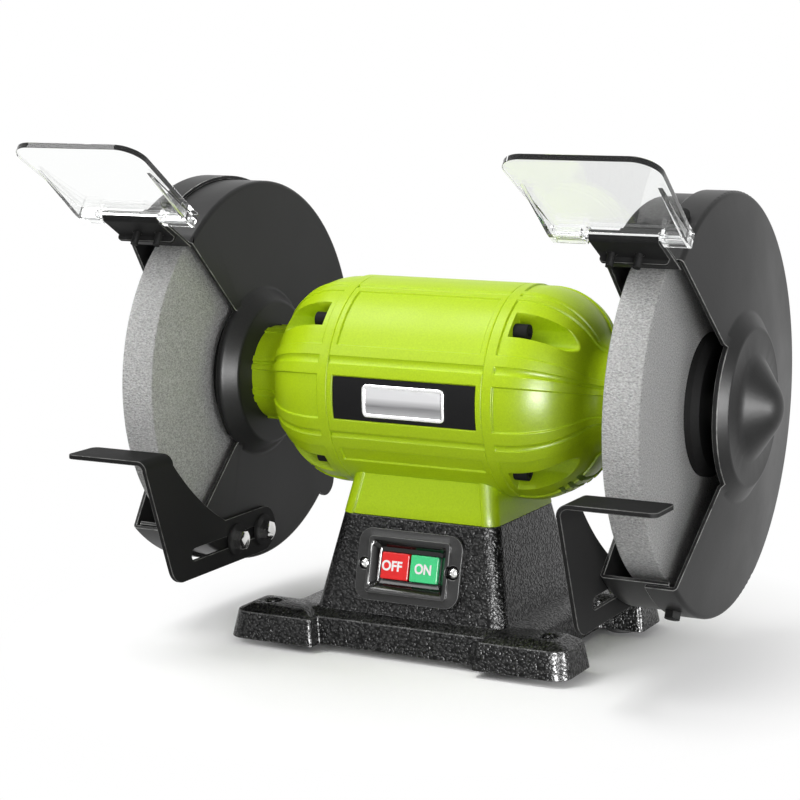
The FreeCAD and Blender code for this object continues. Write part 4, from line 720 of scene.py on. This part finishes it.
def on_front_face(across, up, out):
    """Point on the pedestal's sloped front, given from the switch's centre."""
    rise_up = SWITCH_UP + up
    foot_y = -(PEDESTAL_HALF_Y + (SADDLE_FOOT_Z - DECK_Z) * PEDESTAL_LEAN_Y)
    y = foot_y + rise_up * math.sin(FACE_LEAN) - out * math.cos(FACE_LEAN)
    z = DECK_Z + rise_up * math.cos(FACE_LEAN) + out * math.sin(FACE_LEAN)
    return (SWITCH_X + across, y, z)


def round_the_shaft(x, r, angle):
    turn = math.radians(angle)
    return (x, -r * math.cos(turn), AXIS_Z + r * math.sin(turn))


# Ribbed housing

def rise(value, start, end):
    """Smooth step from 0 to 1."""
    t = np.clip((value - start) / (end - start), 0.0, 1.0)
    return t * t * (3 - 2 * t)


def turned(angle):
    """The same angle between -180 and 180."""
    return (angle + 180.0) % 360.0 - 180.0


def halfway(angles, span):
    """How far angles are from a span's middle, and half the span."""
    middle = (span[0] + span[1]) / 2
    return np.abs(turned(angles - middle)), (span[1] - span[0]) / 2


def within(angles, span, soft=EDGE_SOFT):
    """1 inside a span of angles, 0 outside, with soft edges."""
    away, half = halfway(angles, span)
    return 1.0 - rise(away, half - soft / 2, half + soft / 2)


def flute(angles, span):
    """Half-round groove across a span of angles."""
    away, half = halfway(angles, span)
    return (1.0 - np.clip(away / half, 0.0, 1.0) ** 2) ** 0.7


def both_sides(spans):
    """Spans on the operator's side, and the same at the back."""
    return [side for span in spans for side in (span, (180.0 - span[1], 180.0 - span[0]))]


def thinned(stops, least):
    """Stops in order, without those that follow another too closely."""
    stops = np.sort(np.array(stops))
    return stops[np.concatenate(([True], np.diff(stops) > least))]


def rib_angles(panels):
    """Angles round the shell, close together where a panel, groove or pocket starts."""
    stops = list(np.arange(-180.0, 180.0, RIB_ANGLE_STEP))
    for span in both_sides(panels):
        for edge in span:
            stops += [edge + EDGE_SOFT * step for step in EDGE_STEPS]
    for low, high in both_sides(RIB_GROOVES):
        stops += [(low + high) / 2 + (high - low) / 2 * step for step in GROOVE_STEPS]
    for pocket in POCKET_ANGLES:
        for step in POCKET_STEPS:
            stops += [pocket - step, pocket + step]
    return thinned(turned(np.array(stops)), LEAST_ANGLE_STEP)


def sunk_by(angles, panels):
    """How deep the panels, and the grooves beside the ribs, lie below the full round."""
    sunk = [PANEL_DEPTH * within(angles, span) for span in both_sides(panels)]
    cut = [GROOVE_DEPTH * flute(angles, span) for span in both_sides(RIB_GROOVES)]
    return np.max(sunk, axis=0), np.max(cut, axis=0)


def turned_shell(name, rows, angles, side):
    """Closed shell from rows of (x, r) round the shaft; side mirrors it."""
    cosine = np.cos(np.radians(angles))
    sine = np.sin(np.radians(angles))
    rings = []
    for x, r in rows:
        x = np.broadcast_to(x, angles.shape)
        rings.append(list(zip(side * x, -r * cosine, AXIS_Z + r * sine)))
    return stacked(name, rings, closed_loop=True)


def bell_profile():
    """Outer line of the bell from the seam to the neck's end, as (x, r, normal x, normal r)."""
    line = [(BARREL_HALF + along * SEAM_ROUND, HOUSING_R - drop * SEAM_ROUND, 0.0, 1.0)
            for along, drop in SEAM_STEPS]
    line += [(BARREL_HALF + step, HOUSING_R, 0.0, 1.0) for step in BAND_STEPS]
    centre_r = HOUSING_R - SHOULDER_R
    reach = SHOULDER_R + BLEND_R
    blend_rise = NECK_R + BLEND_R - centre_r
    blend_x = SHOULDER_X + math.sqrt(reach ** 2 - blend_rise ** 2)
    end_x = SHOULDER_X + SHOULDER_R * (blend_x - SHOULDER_X) / reach
    stops = [*np.arange(SHOULDER_X, 79.0, 1.0), *np.arange(79.0, end_x, 0.5), end_x]
    for vent in VENT_X:
        stops += [vent + step for step in VENT_STEPS]
    for x in thinned(stops, LEAST_ROW_STEP):
        cosine = (x - SHOULDER_X) / SHOULDER_R
        sine = math.sqrt(1.0 - cosine ** 2)
        line.append((x, centre_r + SHOULDER_R * sine, cosine, sine))
    start = math.degrees(math.asin(blend_rise / reach))
    for turn in np.linspace(180.0 + start, 270.0, 16)[1:]:
        cosine = math.cos(math.radians(turn))
        sine = math.sin(math.radians(turn))
        line.append((blend_x + BLEND_R * cosine, NECK_R + BLEND_R + BLEND_R * sine, -cosine, -sine))
    line += [(x, NECK_R, 0.0, 1.0) for x in np.linspace(blend_x, NECK_END_X, 7)[1:]]
    return line


def pocket_cut(x, r, angles):
    """Lowers a row to the floors of the screw pockets."""
    for pocket in POCKET_ANGLES:
        away = np.abs(turned(angles - pocket))
        begun = rise(x, POCKET_FLOOR_X - POCKET_FLOOR_SOFT, POCKET_FLOOR_X + POCKET_FLOOR_SOFT)
        inside = (1.0 - rise(away, *POCKET_EDGE)) * begun
        climb = (POCKET_SIDE_R - POCKET_BOTTOM_R) * (away / POCKET_HALF_ANGLE) ** 2
        over = (r - (POCKET_BOTTOM_R + climb)) / POCKET_SOFT
        r = r - inside * (np.logaddexp(0.0, over) * POCKET_SOFT)
    return r


def bell_rows(angles):
    """Rows of the bell: its outside with panels, grooves, vents and pockets, then its inside."""
    depth = np.maximum(*sunk_by(angles, BELL_PANELS))
    vents = within(angles, VENT_ANGLES, VENT_END_SOFT)
    rows = []
    for x, r, normal_x, normal_r in bell_profile():
        sunk = depth * rise(x, BELL_BAND_X - EDGE_SOFT / 2, BELL_BAND_X + EDGE_SOFT / 2)
        if any(abs(x - vent) < VENT_WIDTH / 2 for vent in VENT_X):
            sunk = np.maximum(sunk, VENT_DEPTH * vents)
        rows.append((x - normal_x * sunk, pocket_cut(x, r - normal_r * sunk, angles)))
    outside_x = np.array([np.mean(x) for x, r in rows])
    outside_r = np.array([r for x, r in rows])
    for x, r in BELL_INSIDE:
        near = np.abs(outside_x - x) < WALL_REACH
        limit = outside_r[near].min(axis=0) - LEAST_WALL
        inner_r = np.maximum(np.minimum(r, limit), min(r, SHAFT_HOLE_R))
        rows.append((np.full(angles.shape, x), inner_r))
    return rows


def make_bells():
    angles = rib_angles(BELL_PANELS)
    rows = bell_rows(angles)
    for side, hand in SIDES:
        mesh = turned_shell(hand + "bell_casting", rows, angles, side)
        piece = add_piece(hand + "bell_casting", mesh, ["lime_paint"], 50.0)
        stand_for(piece, hand + "end_bell")


def barrel_rows(angles):
    """Rows of the barrel: its outside with panels and grooves, then its bore."""
    panels, grooves = sunk_by(angles, BARREL_PANELS)
    ends = [BAND_HALF + EDGE_SOFT * step for step in EDGE_STEPS]
    half = [(x, 0.0) for x in (*BARREL_STEPS, *ends, *BARREL_END_STEPS)]
    half += [(BARREL_HALF - along * SEAM_ROUND, drop * SEAM_ROUND)
             for along, drop in reversed(SEAM_STEPS)]
    rows = []
    for x, drop in [(-x, drop) for x, drop in half[:0:-1]] + half:
        ended = rise(abs(x), BAND_HALF - EDGE_SOFT / 2, BAND_HALF + EDGE_SOFT / 2)
        rows.append((x, HOUSING_R - drop - np.maximum(panels * (1.0 - ended), grooves)))
    for x in BORE_STEPS:
        rows.append((x, np.full(angles.shape, HOUSING_BORE_R)))
    return rows


def saddle_ring(z, inset):
    """Outline of the saddle at a height, with the recessed front between its corner columns."""
    half_x = PEDESTAL_HALF_X + (SADDLE_FOOT_Z - z) * PEDESTAL_LEAN_X - inset
    half_y = PEDESTAL_HALF_Y + (SADDLE_FOOT_Z - z) * PEDESTAL_LEAN_Y - inset
    corner = SADDLE_CORNER_R - inset
    ring = [(x, y, z) for x, y in rounded_outline(half_x, half_y, corner, 12)]
    front = half_x - corner
    dip = [(-front + step, sunk) for step, sunk in SADDLE_RECESS_STEPS] + [(0.0, 1.0)]
    dip += [(front - step, sunk) for step, sunk in reversed(SADDLE_RECESS_STEPS)]
    return ring + [(x, -half_y + sunk * SADDLE_RECESS, z) for x, sunk in dip]


def make_motor_housing():
    """Barrel and saddle as one casting."""
    angles = rib_angles(BARREL_PANELS)
    barrel = turned_shell("barrel", barrel_rows(angles), angles, 1)
    heights = [(SADDLE_FOOT_Z + step, inset) for step, inset in SADDLE_FOOT_STEPS]
    heights += [(z, 0.0) for z in SADDLE_HEIGHTS]
    saddle = stacked("saddle", [saddle_ring(z, inset) for z, inset in heights])
    round_bore = circle(HOUSING_BORE_R, 96)
    bore = stacked("bore", [[(x, y, AXIS_Z + up) for y, up in round_bore]
                            for x in (-BARREL_HALF - 2, BARREL_HALF + 2)])
    foot = joined(saddle, bore, "DIFFERENCE", "saddle_foot")
    mesh = joined(barrel, foot, "UNION", "housing_casting")
    piece = add_piece("housing_casting", mesh, ["lime_paint"], 50.0)
    stand_for(piece, "motor_housing")


# Fasteners

def lifted(tree, mesh, height):
    offset = made(tree, "ShaderNodeCombineXYZ", {"Z": height})
    inputs = {"Geometry": mesh, "Translation": offset}
    return made(tree, "GeometryNodeTransform", inputs)


def prism(tree, sides, radius, depth, base):
    """Straight prism that starts at a height above the seat."""
    inputs = {"Vertices": sides, "Radius": radius, "Depth": depth}
    body = made(tree, "GeometryNodeMeshCylinder", inputs)
    return lifted(tree, body, maths(tree, "ADD", times(tree, depth, 0.5), base))


def merged(tree, operation, first, second):
    """Boolean of two closed shapes in a tree."""
    join = put(tree, "GeometryNodeMeshBoolean", operation=operation, solver="EXACT")
    tree.links.new(first, join.inputs["Mesh 1" if operation == "DIFFERENCE" else "Mesh 2"])
    tree.links.new(second, join.inputs["Mesh 2"])
    return join.outputs["Mesh"]


def chamfered(tree, sides, radius, height, top_radius):
    """Prism on the seat whose top is cut by a cone at 30 degrees, as on a bolt's head."""
    low_radius = maths(tree, "ADD", top_radius, times(tree, height, CONE_SPREAD))
    inputs = {"Vertices": 48, "Radius Bottom": low_radius, "Radius Top": top_radius,
              "Depth": height}
    cone = made(tree, "GeometryNodeMeshCone", inputs)
    head = prism(tree, sides, radius, height, 0.0)
    return merged(tree, "INTERSECT", head, lifted(tree, cone, 0.0))


def with_shank(tree, size, head, sides, into_head):
    """Adds the shank below the seat, which reaches a share of the head's height up into it."""
    reach = maths(tree, "ADD", size["Shank Length"], times(tree, size["Head Height"], into_head))
    drop = times(tree, size["Shank Length"], -1.0)
    return merged(tree, "UNION", head, prism(tree, sides, size["Shank Radius"], reach, drop))


def hexagon_corner(tree, across_flats):
    return maths(tree, "DIVIDE", across_flats, math.sqrt(3))


def hex_bolt(tree, size):
    flats = size["Across Flats"]
    head = chamfered(tree, 6, hexagon_corner(tree, flats), size["Head Height"],
                     times(tree, flats, HEX_TOP))
    return with_shank(tree, size, head, sides=32, into_head=0.5)


def cap_screw(tree, size):
    height = size["Head Height"]
    radius = size["Head Radius"]
    head = chamfered(tree, 40, radius, height, times(tree, radius, CAP_TOP))
    corner = hexagon_corner(tree, size["Socket Across Flats"])
    socket = prism(tree, 6, corner, height, times(tree, height, SOCKET_FLOOR))
    bored = merged(tree, "DIFFERENCE", head, socket)
    return with_shank(tree, size, bored, sides=32, into_head=0.25)


def washer(tree, size):
    thick = size["Thickness"]
    disc = chamfered(tree, 72, size["Radius"], thick, times(tree, size["Radius"], WASHER_TOP))
    bore = prism(tree, 48, size["Bore Radius"], times(tree, thick, 3.0), times(tree, thick, -1.0))
    return merged(tree, "DIFFERENCE", disc, bore)


def cross_screw(tree, size):
    radius = size["Head Radius"]
    height = size["Head Height"]
    ball_radius = times(tree, radius, DOME_BALL)
    inputs = {"Segments": 40, "Rings": 24, "Radius": ball_radius}
    ball = made(tree, "GeometryNodeMeshUVSphere", inputs)
    sink = maths(tree, "SUBTRACT", height, ball_radius)
    dome = merged(tree, "INTERSECT", prism(tree, 40, radius, height, 0.0), lifted(tree, ball, sink))
    long_side = times(tree, radius, CROSS_LONG)
    short_side = times(tree, radius, CROSS_SHORT)
    for wide, deep in ((long_side, short_side), (short_side, long_side)):
        block = made(tree, "ShaderNodeCombineXYZ", {"X": wide, "Y": deep, "Z": height})
        blade = made(tree, "GeometryNodeMeshCube", {"Size": block})
        dome = merged(tree, "DIFFERENCE", dome, lifted(tree, blade, height))
    return with_shank(tree, size, dome, sides=24, into_head=0.3)


def threaded_screw(tree, size):
    """Pan-headed screw whose thread shows below the sheet that it holds."""
    length = size["Thread Length"]
    radius = size["Head Radius"]
    height = size["Head Height"]
    head = chamfered(tree, 40, radius, height, times(tree, radius, PAN_TOP))
    rows = times(tree, maths(tree, "DIVIDE", length, size["Pitch"]), 2.0)
    inputs = {"Vertices": 24, "Side Segments": rows, "Radius": size["Thread Radius"],
              "Depth": length}
    rod = made(tree, "GeometryNodeMeshCylinder", inputs)
    place = made(tree, "GeometryNodeInputPosition")
    spot = put(tree, "ShaderNodeSeparateXYZ", {"Vector": place}).outputs
    half_pitch = times(tree, size["Pitch"], 0.5)
    # Counted from a metre below, so that it stays above zero
    along = maths(tree, "DIVIDE", maths(tree, "ADD", spot["Z"], 1.0), half_pitch)
    inward = times(tree, maths(tree, "PINGPONG", along, 1.0), -THREAD_DEPTH)
    level = made(tree, "ShaderNodeCombineXYZ", {"X": spot["X"], "Y": spot["Y"]})
    shift = shifted(tree, "SCALE", {0: level, "Scale": inward})
    thread = made(tree, "GeometryNodeSetPosition", {"Geometry": rod, "Offset": shift})
    sunk = maths(tree, "ADD", times(tree, length, -0.5), times(tree, height, THREAD_INTO_HEAD))
    return merged(tree, "UNION", head, lifted(tree, thread, sunk))


def fastener_tree(fastener, sizes, seed):
    """Tree that sets a fastener on every point along the point's axis, each at its own turn."""
    tree = bpy.data.node_groups.new(fastener.__name__, "GeometryNodeTree")
    add_socket(tree, "Geometry", "INPUT", "Geometry")
    for label, value in sizes.items():
        add_socket(tree, label, "INPUT", "Float").default_value = value * MM
    add_socket(tree, "Material", "INPUT", "Material")
    add_socket(tree, "Geometry", "OUTPUT", "Geometry")
    entry = tree.nodes.new("NodeGroupInput").outputs
    axis = made(tree, "GeometryNodeInputNamedAttribute", {"Name": "seat_axis"},
                data_type="FLOAT_VECTOR")
    aim = made(tree, "FunctionNodeAlignRotationToVector", {"Vector": axis}, axis="Z")
    chance = made(tree, "FunctionNodeRandomValue", {2: 0.0, 3: FULL_TURN, "Seed": seed}, 1,
                  data_type="FLOAT")
    inputs = {"Axis": (0.0, 0.0, 1.0), "Angle": chance}
    turn = made(tree, "FunctionNodeAxisAngleToRotation", inputs)
    both = made(tree, "FunctionNodeRotateRotation", {"Rotation": aim, "Rotate By": turn},
                rotation_space="LOCAL")
    shape = fastener(tree, entry)
    inputs = {"Points": entry["Geometry"], "Instance": shape, "Rotation": both}
    placed = made(tree, "GeometryNodeInstanceOnPoints", inputs)
    plain = made(tree, "GeometryNodeRealizeInstances", {"Geometry": placed})
    inputs = {"Geometry": plain, "Material": entry["Material"]}
    put(tree, "NodeGroupOutput", {"Geometry": made(tree, "GeometryNodeSetMaterial", inputs)})
    return tree


def fasten(name, tree, seats, sizes, slot, node):
    """Sets a tree's fastener on every seat, given as (place, axis), as one plain piece."""
    mesh = bpy.data.meshes.new(name)
    mesh.from_pydata([Vector(place) * MM for place, axis in seats], [], [])
    axes = mesh.attributes.new("seat_axis", "FLOAT_VECTOR", "POINT")
    for index, (place, axis) in enumerate(seats):
        axes.data[index].vector = axis
    piece = add_object(name, mesh)
    maker = piece.modifiers.new("fasteners", "NODES")
    maker.node_group = tree
    for socket in tree.interface.items_tree:
        if socket.in_out == "INPUT" and socket.name in sizes:
            maker[socket.identifier] = sizes[socket.name] * MM
        if socket.in_out == "INPUT" and socket.name == "Material":
            maker[socket.identifier] = FINISHES[slot]
    keep_result(piece)
    shade(piece.data, 32)
    stand_for(piece, node)


def bracket_seats(side):
    """Seats of the two screws through the guard's flange, under the shield's bracket."""
    low, high = box_mm("right_bracket_screws")
    down = Vector((0, -math.sin(FLANGE_LEAN), -math.cos(FLANGE_LEAN)))
    along = Vector((0, -math.cos(FLANGE_LEAN), math.sin(FLANGE_LEAN)))
    seat = Vector(round_the_shaft(0, COVER_R, FLANGE_CORNER_ANGLE)) + along * BRACKET_SCREW_AT
    inset = THREADED_SCREW["Head Radius"]
    return [(seat + down * BRACKET_SCREW_SINK + Vector((side * x, 0, 0)), -down)
            for x in (low.x + inset, high.x - inset)]


def make_fasteners():
    hex_bolts = fastener_tree(hex_bolt, REST_BOLT, 3)
    cap_screws = fastener_tree(cap_screw, CAP_SCREW, 5)
    washers = fastener_tree(washer, WASHER, 7)
    cross_screws = fastener_tree(cross_screw, CROSS_SCREW, 11)
    threaded_screws = fastener_tree(threaded_screw, THREADED_SCREW, 13)
    for side, hand in SIDES:
        seats = [(round_the_shaft(side * POCKET_FLOOR_X, POCKET_SCREW_R, angle), (side, 0, 0))
                 for angle in POCKET_ANGLES]
        fasten(hand + "cap_screws", cap_screws, seats, CAP_SCREW, "black_steel",
               hand + "bell_screws")
        bolt_x = REST_FACE_X - WASHER["Thickness"]
        seats = [((side * bolt_x, y, REST_BOLT_Z), (-side, 0, 0)) for y in REST_BOLT_Y]
        fasten(hand + "hex_bolts", hex_bolts, seats, REST_BOLT, "chrome", hand + "rest_bolts")
        seats = [((side * REST_FACE_X, y, REST_BOLT_Z), (-side, 0, 0)) for y in REST_BOLT_Y]
        fasten(hand + "washers", washers, seats, WASHER, "black_steel", hand + "rest_washers")
        seats = []
        for angle in COVER_BOLT_ANGLES:
            outward = (0, -math.cos(math.radians(angle)), math.sin(math.radians(angle)))
            seats.append((round_the_shaft(side * COVER_BOLT_X, COVER_R, angle), outward))
        fasten(hand + "rim_bolts", hex_bolts, seats, RIM_BOLT, "black_steel", hand + "cover_bolts")
        fasten(hand + "studs", threaded_screws, bracket_seats(side), THREADED_SCREW, "black_steel",
               hand + "bracket_screws")
    outward = Vector((0, -math.cos(FACE_LEAN), math.sin(FACE_LEAN)))
    seats = [(on_front_face(across, 0.0, RECESS_FLOOR), outward)
             for across in (-SWITCH_SCREW_AT, SWITCH_SCREW_AT)]
    fasten("switch_cross_screws", cross_screws, seats, CROSS_SCREW, "chrome", "switch_screws")


# Switch cover, lettering and badge plate

def make_switch_cover():
    """Moulded cover with glossy sloped walls round the buttons, and a recess for each screw."""
    recesses = []
    for across, recess_r in SWITCH_RECESSES:
        rings = [[on_front_face(across + u, v, out) for u, v in circle(recess_r, 48)]
                 for out in (RECESS_FLOOR, RECESS_TOP)]
        recesses.append(stacked("recess", rings))
    cover = dressed_mesh("switch_plate", 0.3, cuts=recesses)
    piece = add_piece("switch_cover", cover, ["switch_plastic", "black_plastic"], flat=True)
    middle = Vector(on_front_face(0, 0, 0))
    up_face = Vector((0, math.sin(FACE_LEAN), math.cos(FACE_LEAN)))
    for face in piece.data.polygons:
        spot = face.center / MM - middle
        across, up = abs(spot.x), abs(spot.dot(up_face))
        in_mouth = across < MOUTH_HALF_X and up < MOUTH_HALF_Y
        in_recess = abs(across - SWITCH_SCREW_AT) < RECESS_INNER and up < RECESS_INNER
        face.material_index = 1 if in_mouth or in_recess else 0
    stand_for(piece, "switch_plate")


def make_lettering(word, finish_name, body, across, wide):
    """A raised word on a button."""
    curve = bpy.data.curves.new(word, "FONT")
    curve.body = word
    curve.resolution_u = 6
    curve.extrude = 0.02
    curve.offset = LETTER_BOLD
    text = add_object(word, curve)
    mesh = finished_mesh(text)
    bpy.data.objects.remove(text)
    spots = np.array([vertex.co for vertex in mesh.vertices])
    low = spots.min(axis=0)
    shares = (spots - low) / (spots.max(axis=0) - low)
    for vertex, (u, v, lift) in zip(mesh.vertices, shares):
        out = BUTTON_FACE - LETTER_SINK + LETTER_DEPTH * lift
        place = on_front_face(across + (u - 0.5) * wide, (v - 0.5) * LETTER_HEIGHT, out)
        vertex.co = Vector(place) * MM
    mesh.materials.clear()
    clean(mesh)
    piece = add_piece(word + "_letters", mesh, [finish_name])
    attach(piece, body)


def make_badge_plate():
    """Bare silver plate on the nameplate, bent to the barrel, with a raised frame."""
    rings = []
    for inset, lift in BADGE_RELIEF:
        corner = max(BADGE_CORNER_R - inset, BADGE_LEAST_CORNER_R)
        outline = rounded_outline(BADGE_HALF_X - inset, BADGE_HALF_ARC - inset, corner, 6)
        rings.append([(u, v, lift) for u, v in outline])
    mesh = stacked("badge_plate", rings)
    work = bmesh.new()
    work.from_mesh(mesh)
    for cut in np.arange(-BADGE_HALF_ARC + 1.0, BADGE_HALF_ARC, 1.0):
        bmesh.ops.bisect_plane(work, geom=work.verts[:] + work.edges[:] + work.faces[:],
                               plane_co=(0, cut * MM, 0), plane_no=(0, 1, 0))
    for face in work.faces:
        lifts = [abs(vert.co.z - BADGE_FIELD_LIFT * MM) for vert in face.verts]
        face.material_index = 1 if max(lifts) < 1e-7 else 0
    for vert in work.verts:
        u, v, lift = vert.co / MM
        angle = BADGE_ANGLE + math.degrees(v / LABEL_FACE_R)
        vert.co = Vector(round_the_shaft(BADGE_X + u, LABEL_FACE_R + lift, angle)) * MM
    bmesh.ops.recalc_face_normals(work, faces=work.faces)
    work.to_mesh(mesh)
    work.free()
    piece = add_piece("badge_plate", mesh, ["badge_frame", "badge_field"], 50.0)
    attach(piece, "frame")


# Camera, light and floor

def look_back(thing, direction):
    """Turns a camera or lamp so that it looks against the direction."""
    thing.rotation_euler = direction.to_track_quat("Z", "Y").to_euler()


def add_camera():
    data = bpy.data.cameras.new("camera")
    data.lens = VIEW_LENS
    data.sensor_width = SENSOR_WIDTH
    camera = add_object("camera", data)
    level = math.cos(VIEW_ELEVATION)
    back = Vector((math.sin(VIEW_AZIMUTH) * level, -math.cos(VIEW_AZIMUTH) * level,
                   math.sin(VIEW_ELEVATION)))
    camera.location = VIEW_TARGET + back * VIEW_DISTANCE
    look_back(camera, back)
    bpy.context.scene.camera = camera


def add_softbox(name, place, aim, width, height, watts, paints=True):
    """Soft lamp, placed and sized in metres; without paints it gives highlights only."""
    data = bpy.data.lights.new(name, "AREA")
    data.shape = "RECTANGLE"
    data.size = width
    data.size_y = height
    data.energy = watts
    lamp = add_object(name, data)
    lamp.visible_diffuse = paints
    lamp.location = place
    look_back(lamp, Vector(place) - Vector(aim))


def seen_clearly(tree):
    """1 for what the camera sees straight on, through clear plastic or in a reflection."""
    ray = put(tree, "ShaderNodeLightPath").outputs
    seen = maths(tree, "MAXIMUM", ray["Is Camera Ray"], ray["Is Transmission Ray"])
    return maths(tree, "MAXIMUM", seen, ray["Is Glossy Ray"])


def add_world():
    """White to the eye and in reflections, dimmer as a light."""
    world = bpy.data.worlds.new("studio")
    bpy.context.scene.world = world
    world.use_nodes = True
    tree = world.node_tree
    fill(tree, tree.nodes["Background"], {
        "Color": (1, 1, 1, 1), "Strength": between(tree, seen_clearly(tree), 0.42, 1.0)})


def add_floor():
    """Pale floor that takes the shadow and fades to white away from the part."""
    mesh = bpy.data.meshes.new("floor")
    corners = [(-FLOOR_HALF, -FLOOR_HALF, 0), (FLOOR_HALF, -FLOOR_HALF, 0),
               (FLOOR_HALF, FLOOR_HALF, 0), (-FLOOR_HALF, FLOOR_HALF, 0)]
    mesh.from_pydata(corners, [], [(0, 1, 2, 3)])
    material = bpy.data.materials.new("pale_floor")
    material.use_nodes = True
    tree = material.node_tree
    tree.nodes.remove(tree.nodes["Principled BSDF"])
    seen = seen_clearly(tree)
    tone = blend(tree, seen, colour(*grey(0.45)), colour(*grey(0.93)))
    pale = made(tree, "ShaderNodeBsdfDiffuse", {"Color": tone})
    white = made(tree, "ShaderNodeEmission", {"Color": colour(1, 1, 1), "Strength": 1.0})
    place = made(tree, "ShaderNodeTexCoord", output="Object")
    away = made(tree, "ShaderNodeVectorMath", {0: place}, "Value", operation="LENGTH")
    far = times(tree, spread(tree, away, *FLOOR_FADE, 0.0, 1.0), seen)
    mixed = made(tree, "ShaderNodeMixShader", {0: far, 1: pale, 2: white})
    fill(tree, tree.nodes["Material Output"], {"Surface": mixed})
    mesh.materials.append(material)
    add_object("floor", mesh)


def near_boss(point):
    return abs(point.x) < BOSS_X and from_shaft(point) < BOSS_R


def near_ring(point):
    r = from_shaft(point)
    past_notch = point.y > NOTCH_Y or r < NOTCH_RING_R
    return abs(point.x) > RING_X and RING_R[0] < r < RING_R[1] and past_notch


add_camera()
add_world()
add_floor()
add_softbox("key", (-0.95, -1.15, 1.15), (0, 0, 0.14), 0.8, 0.8, 12)
add_softbox("top", (-0.55, -0.2, 1.25), (0, 0, 0.14), 0.6, 0.5, 10)
add_softbox("side", (1.05, -1.2, 0.3), (0, 0, 0.12), 0.32, 0.7, 8)
add_softbox("corner_glint", (0.95, -1.3, 0.2), (0, 0, 0.12), 0.6, 0.5, 120, paints=False)
add_softbox("dome_glint", (1.6, -0.1, 0.12), (0.17, 0, 0.14), 0.6, 0.5, 75, paints=False)

make_bells()
make_motor_housing()
make_switch_cover()
make_badge_plate()
make_fasteners()
make_lettering("OFF", "white_letters", "off_push", across=-10.4, wide=12.3)
make_lettering("ON", "pink_letters", "on_push", across=8.3, wide=10.0)

for side, hand in SIDES:
    dress(hand + "wheel_guard", "grey_paint", 0.3, soft=near_boss, soft_width=1.2)
    dress(hand + "guard_cover", "grey_paint", 0.3, sharp=20.0, soft=near_ring, soft_width=0.9)
    dress(hand + "tool_rest", "black_steel", 0.35)
    dress(hand + "shield_bracket", "black_steel", 0.25)
    dress(hand + "eye_shield", "clear_plastic", 0.15, smooth=False)
    dress(hand + "wheel_nut", "zinc_steel", 0.2)
    dress(hand + "grinding_wheel", "abrasive", 0.5)
dress("base_casting", "black_casting", 0.5)
dress("switch_body", "black_plastic", 0.25)
dress("rubber_feet", "rubber", 0.4)
dress("cord_gland", "black_plastic", 0.4)
dress("bottom_plate", "steel_sheet", 0.3)

for row in frame["record"]["subparts"]:
    part = frame["nodes"][row["node"]]
    for place in part.material_slots:
        place.material = FINISHES[row["material_slot"]]

bpy.context.scene.view_settings.view_transform = "Standard"
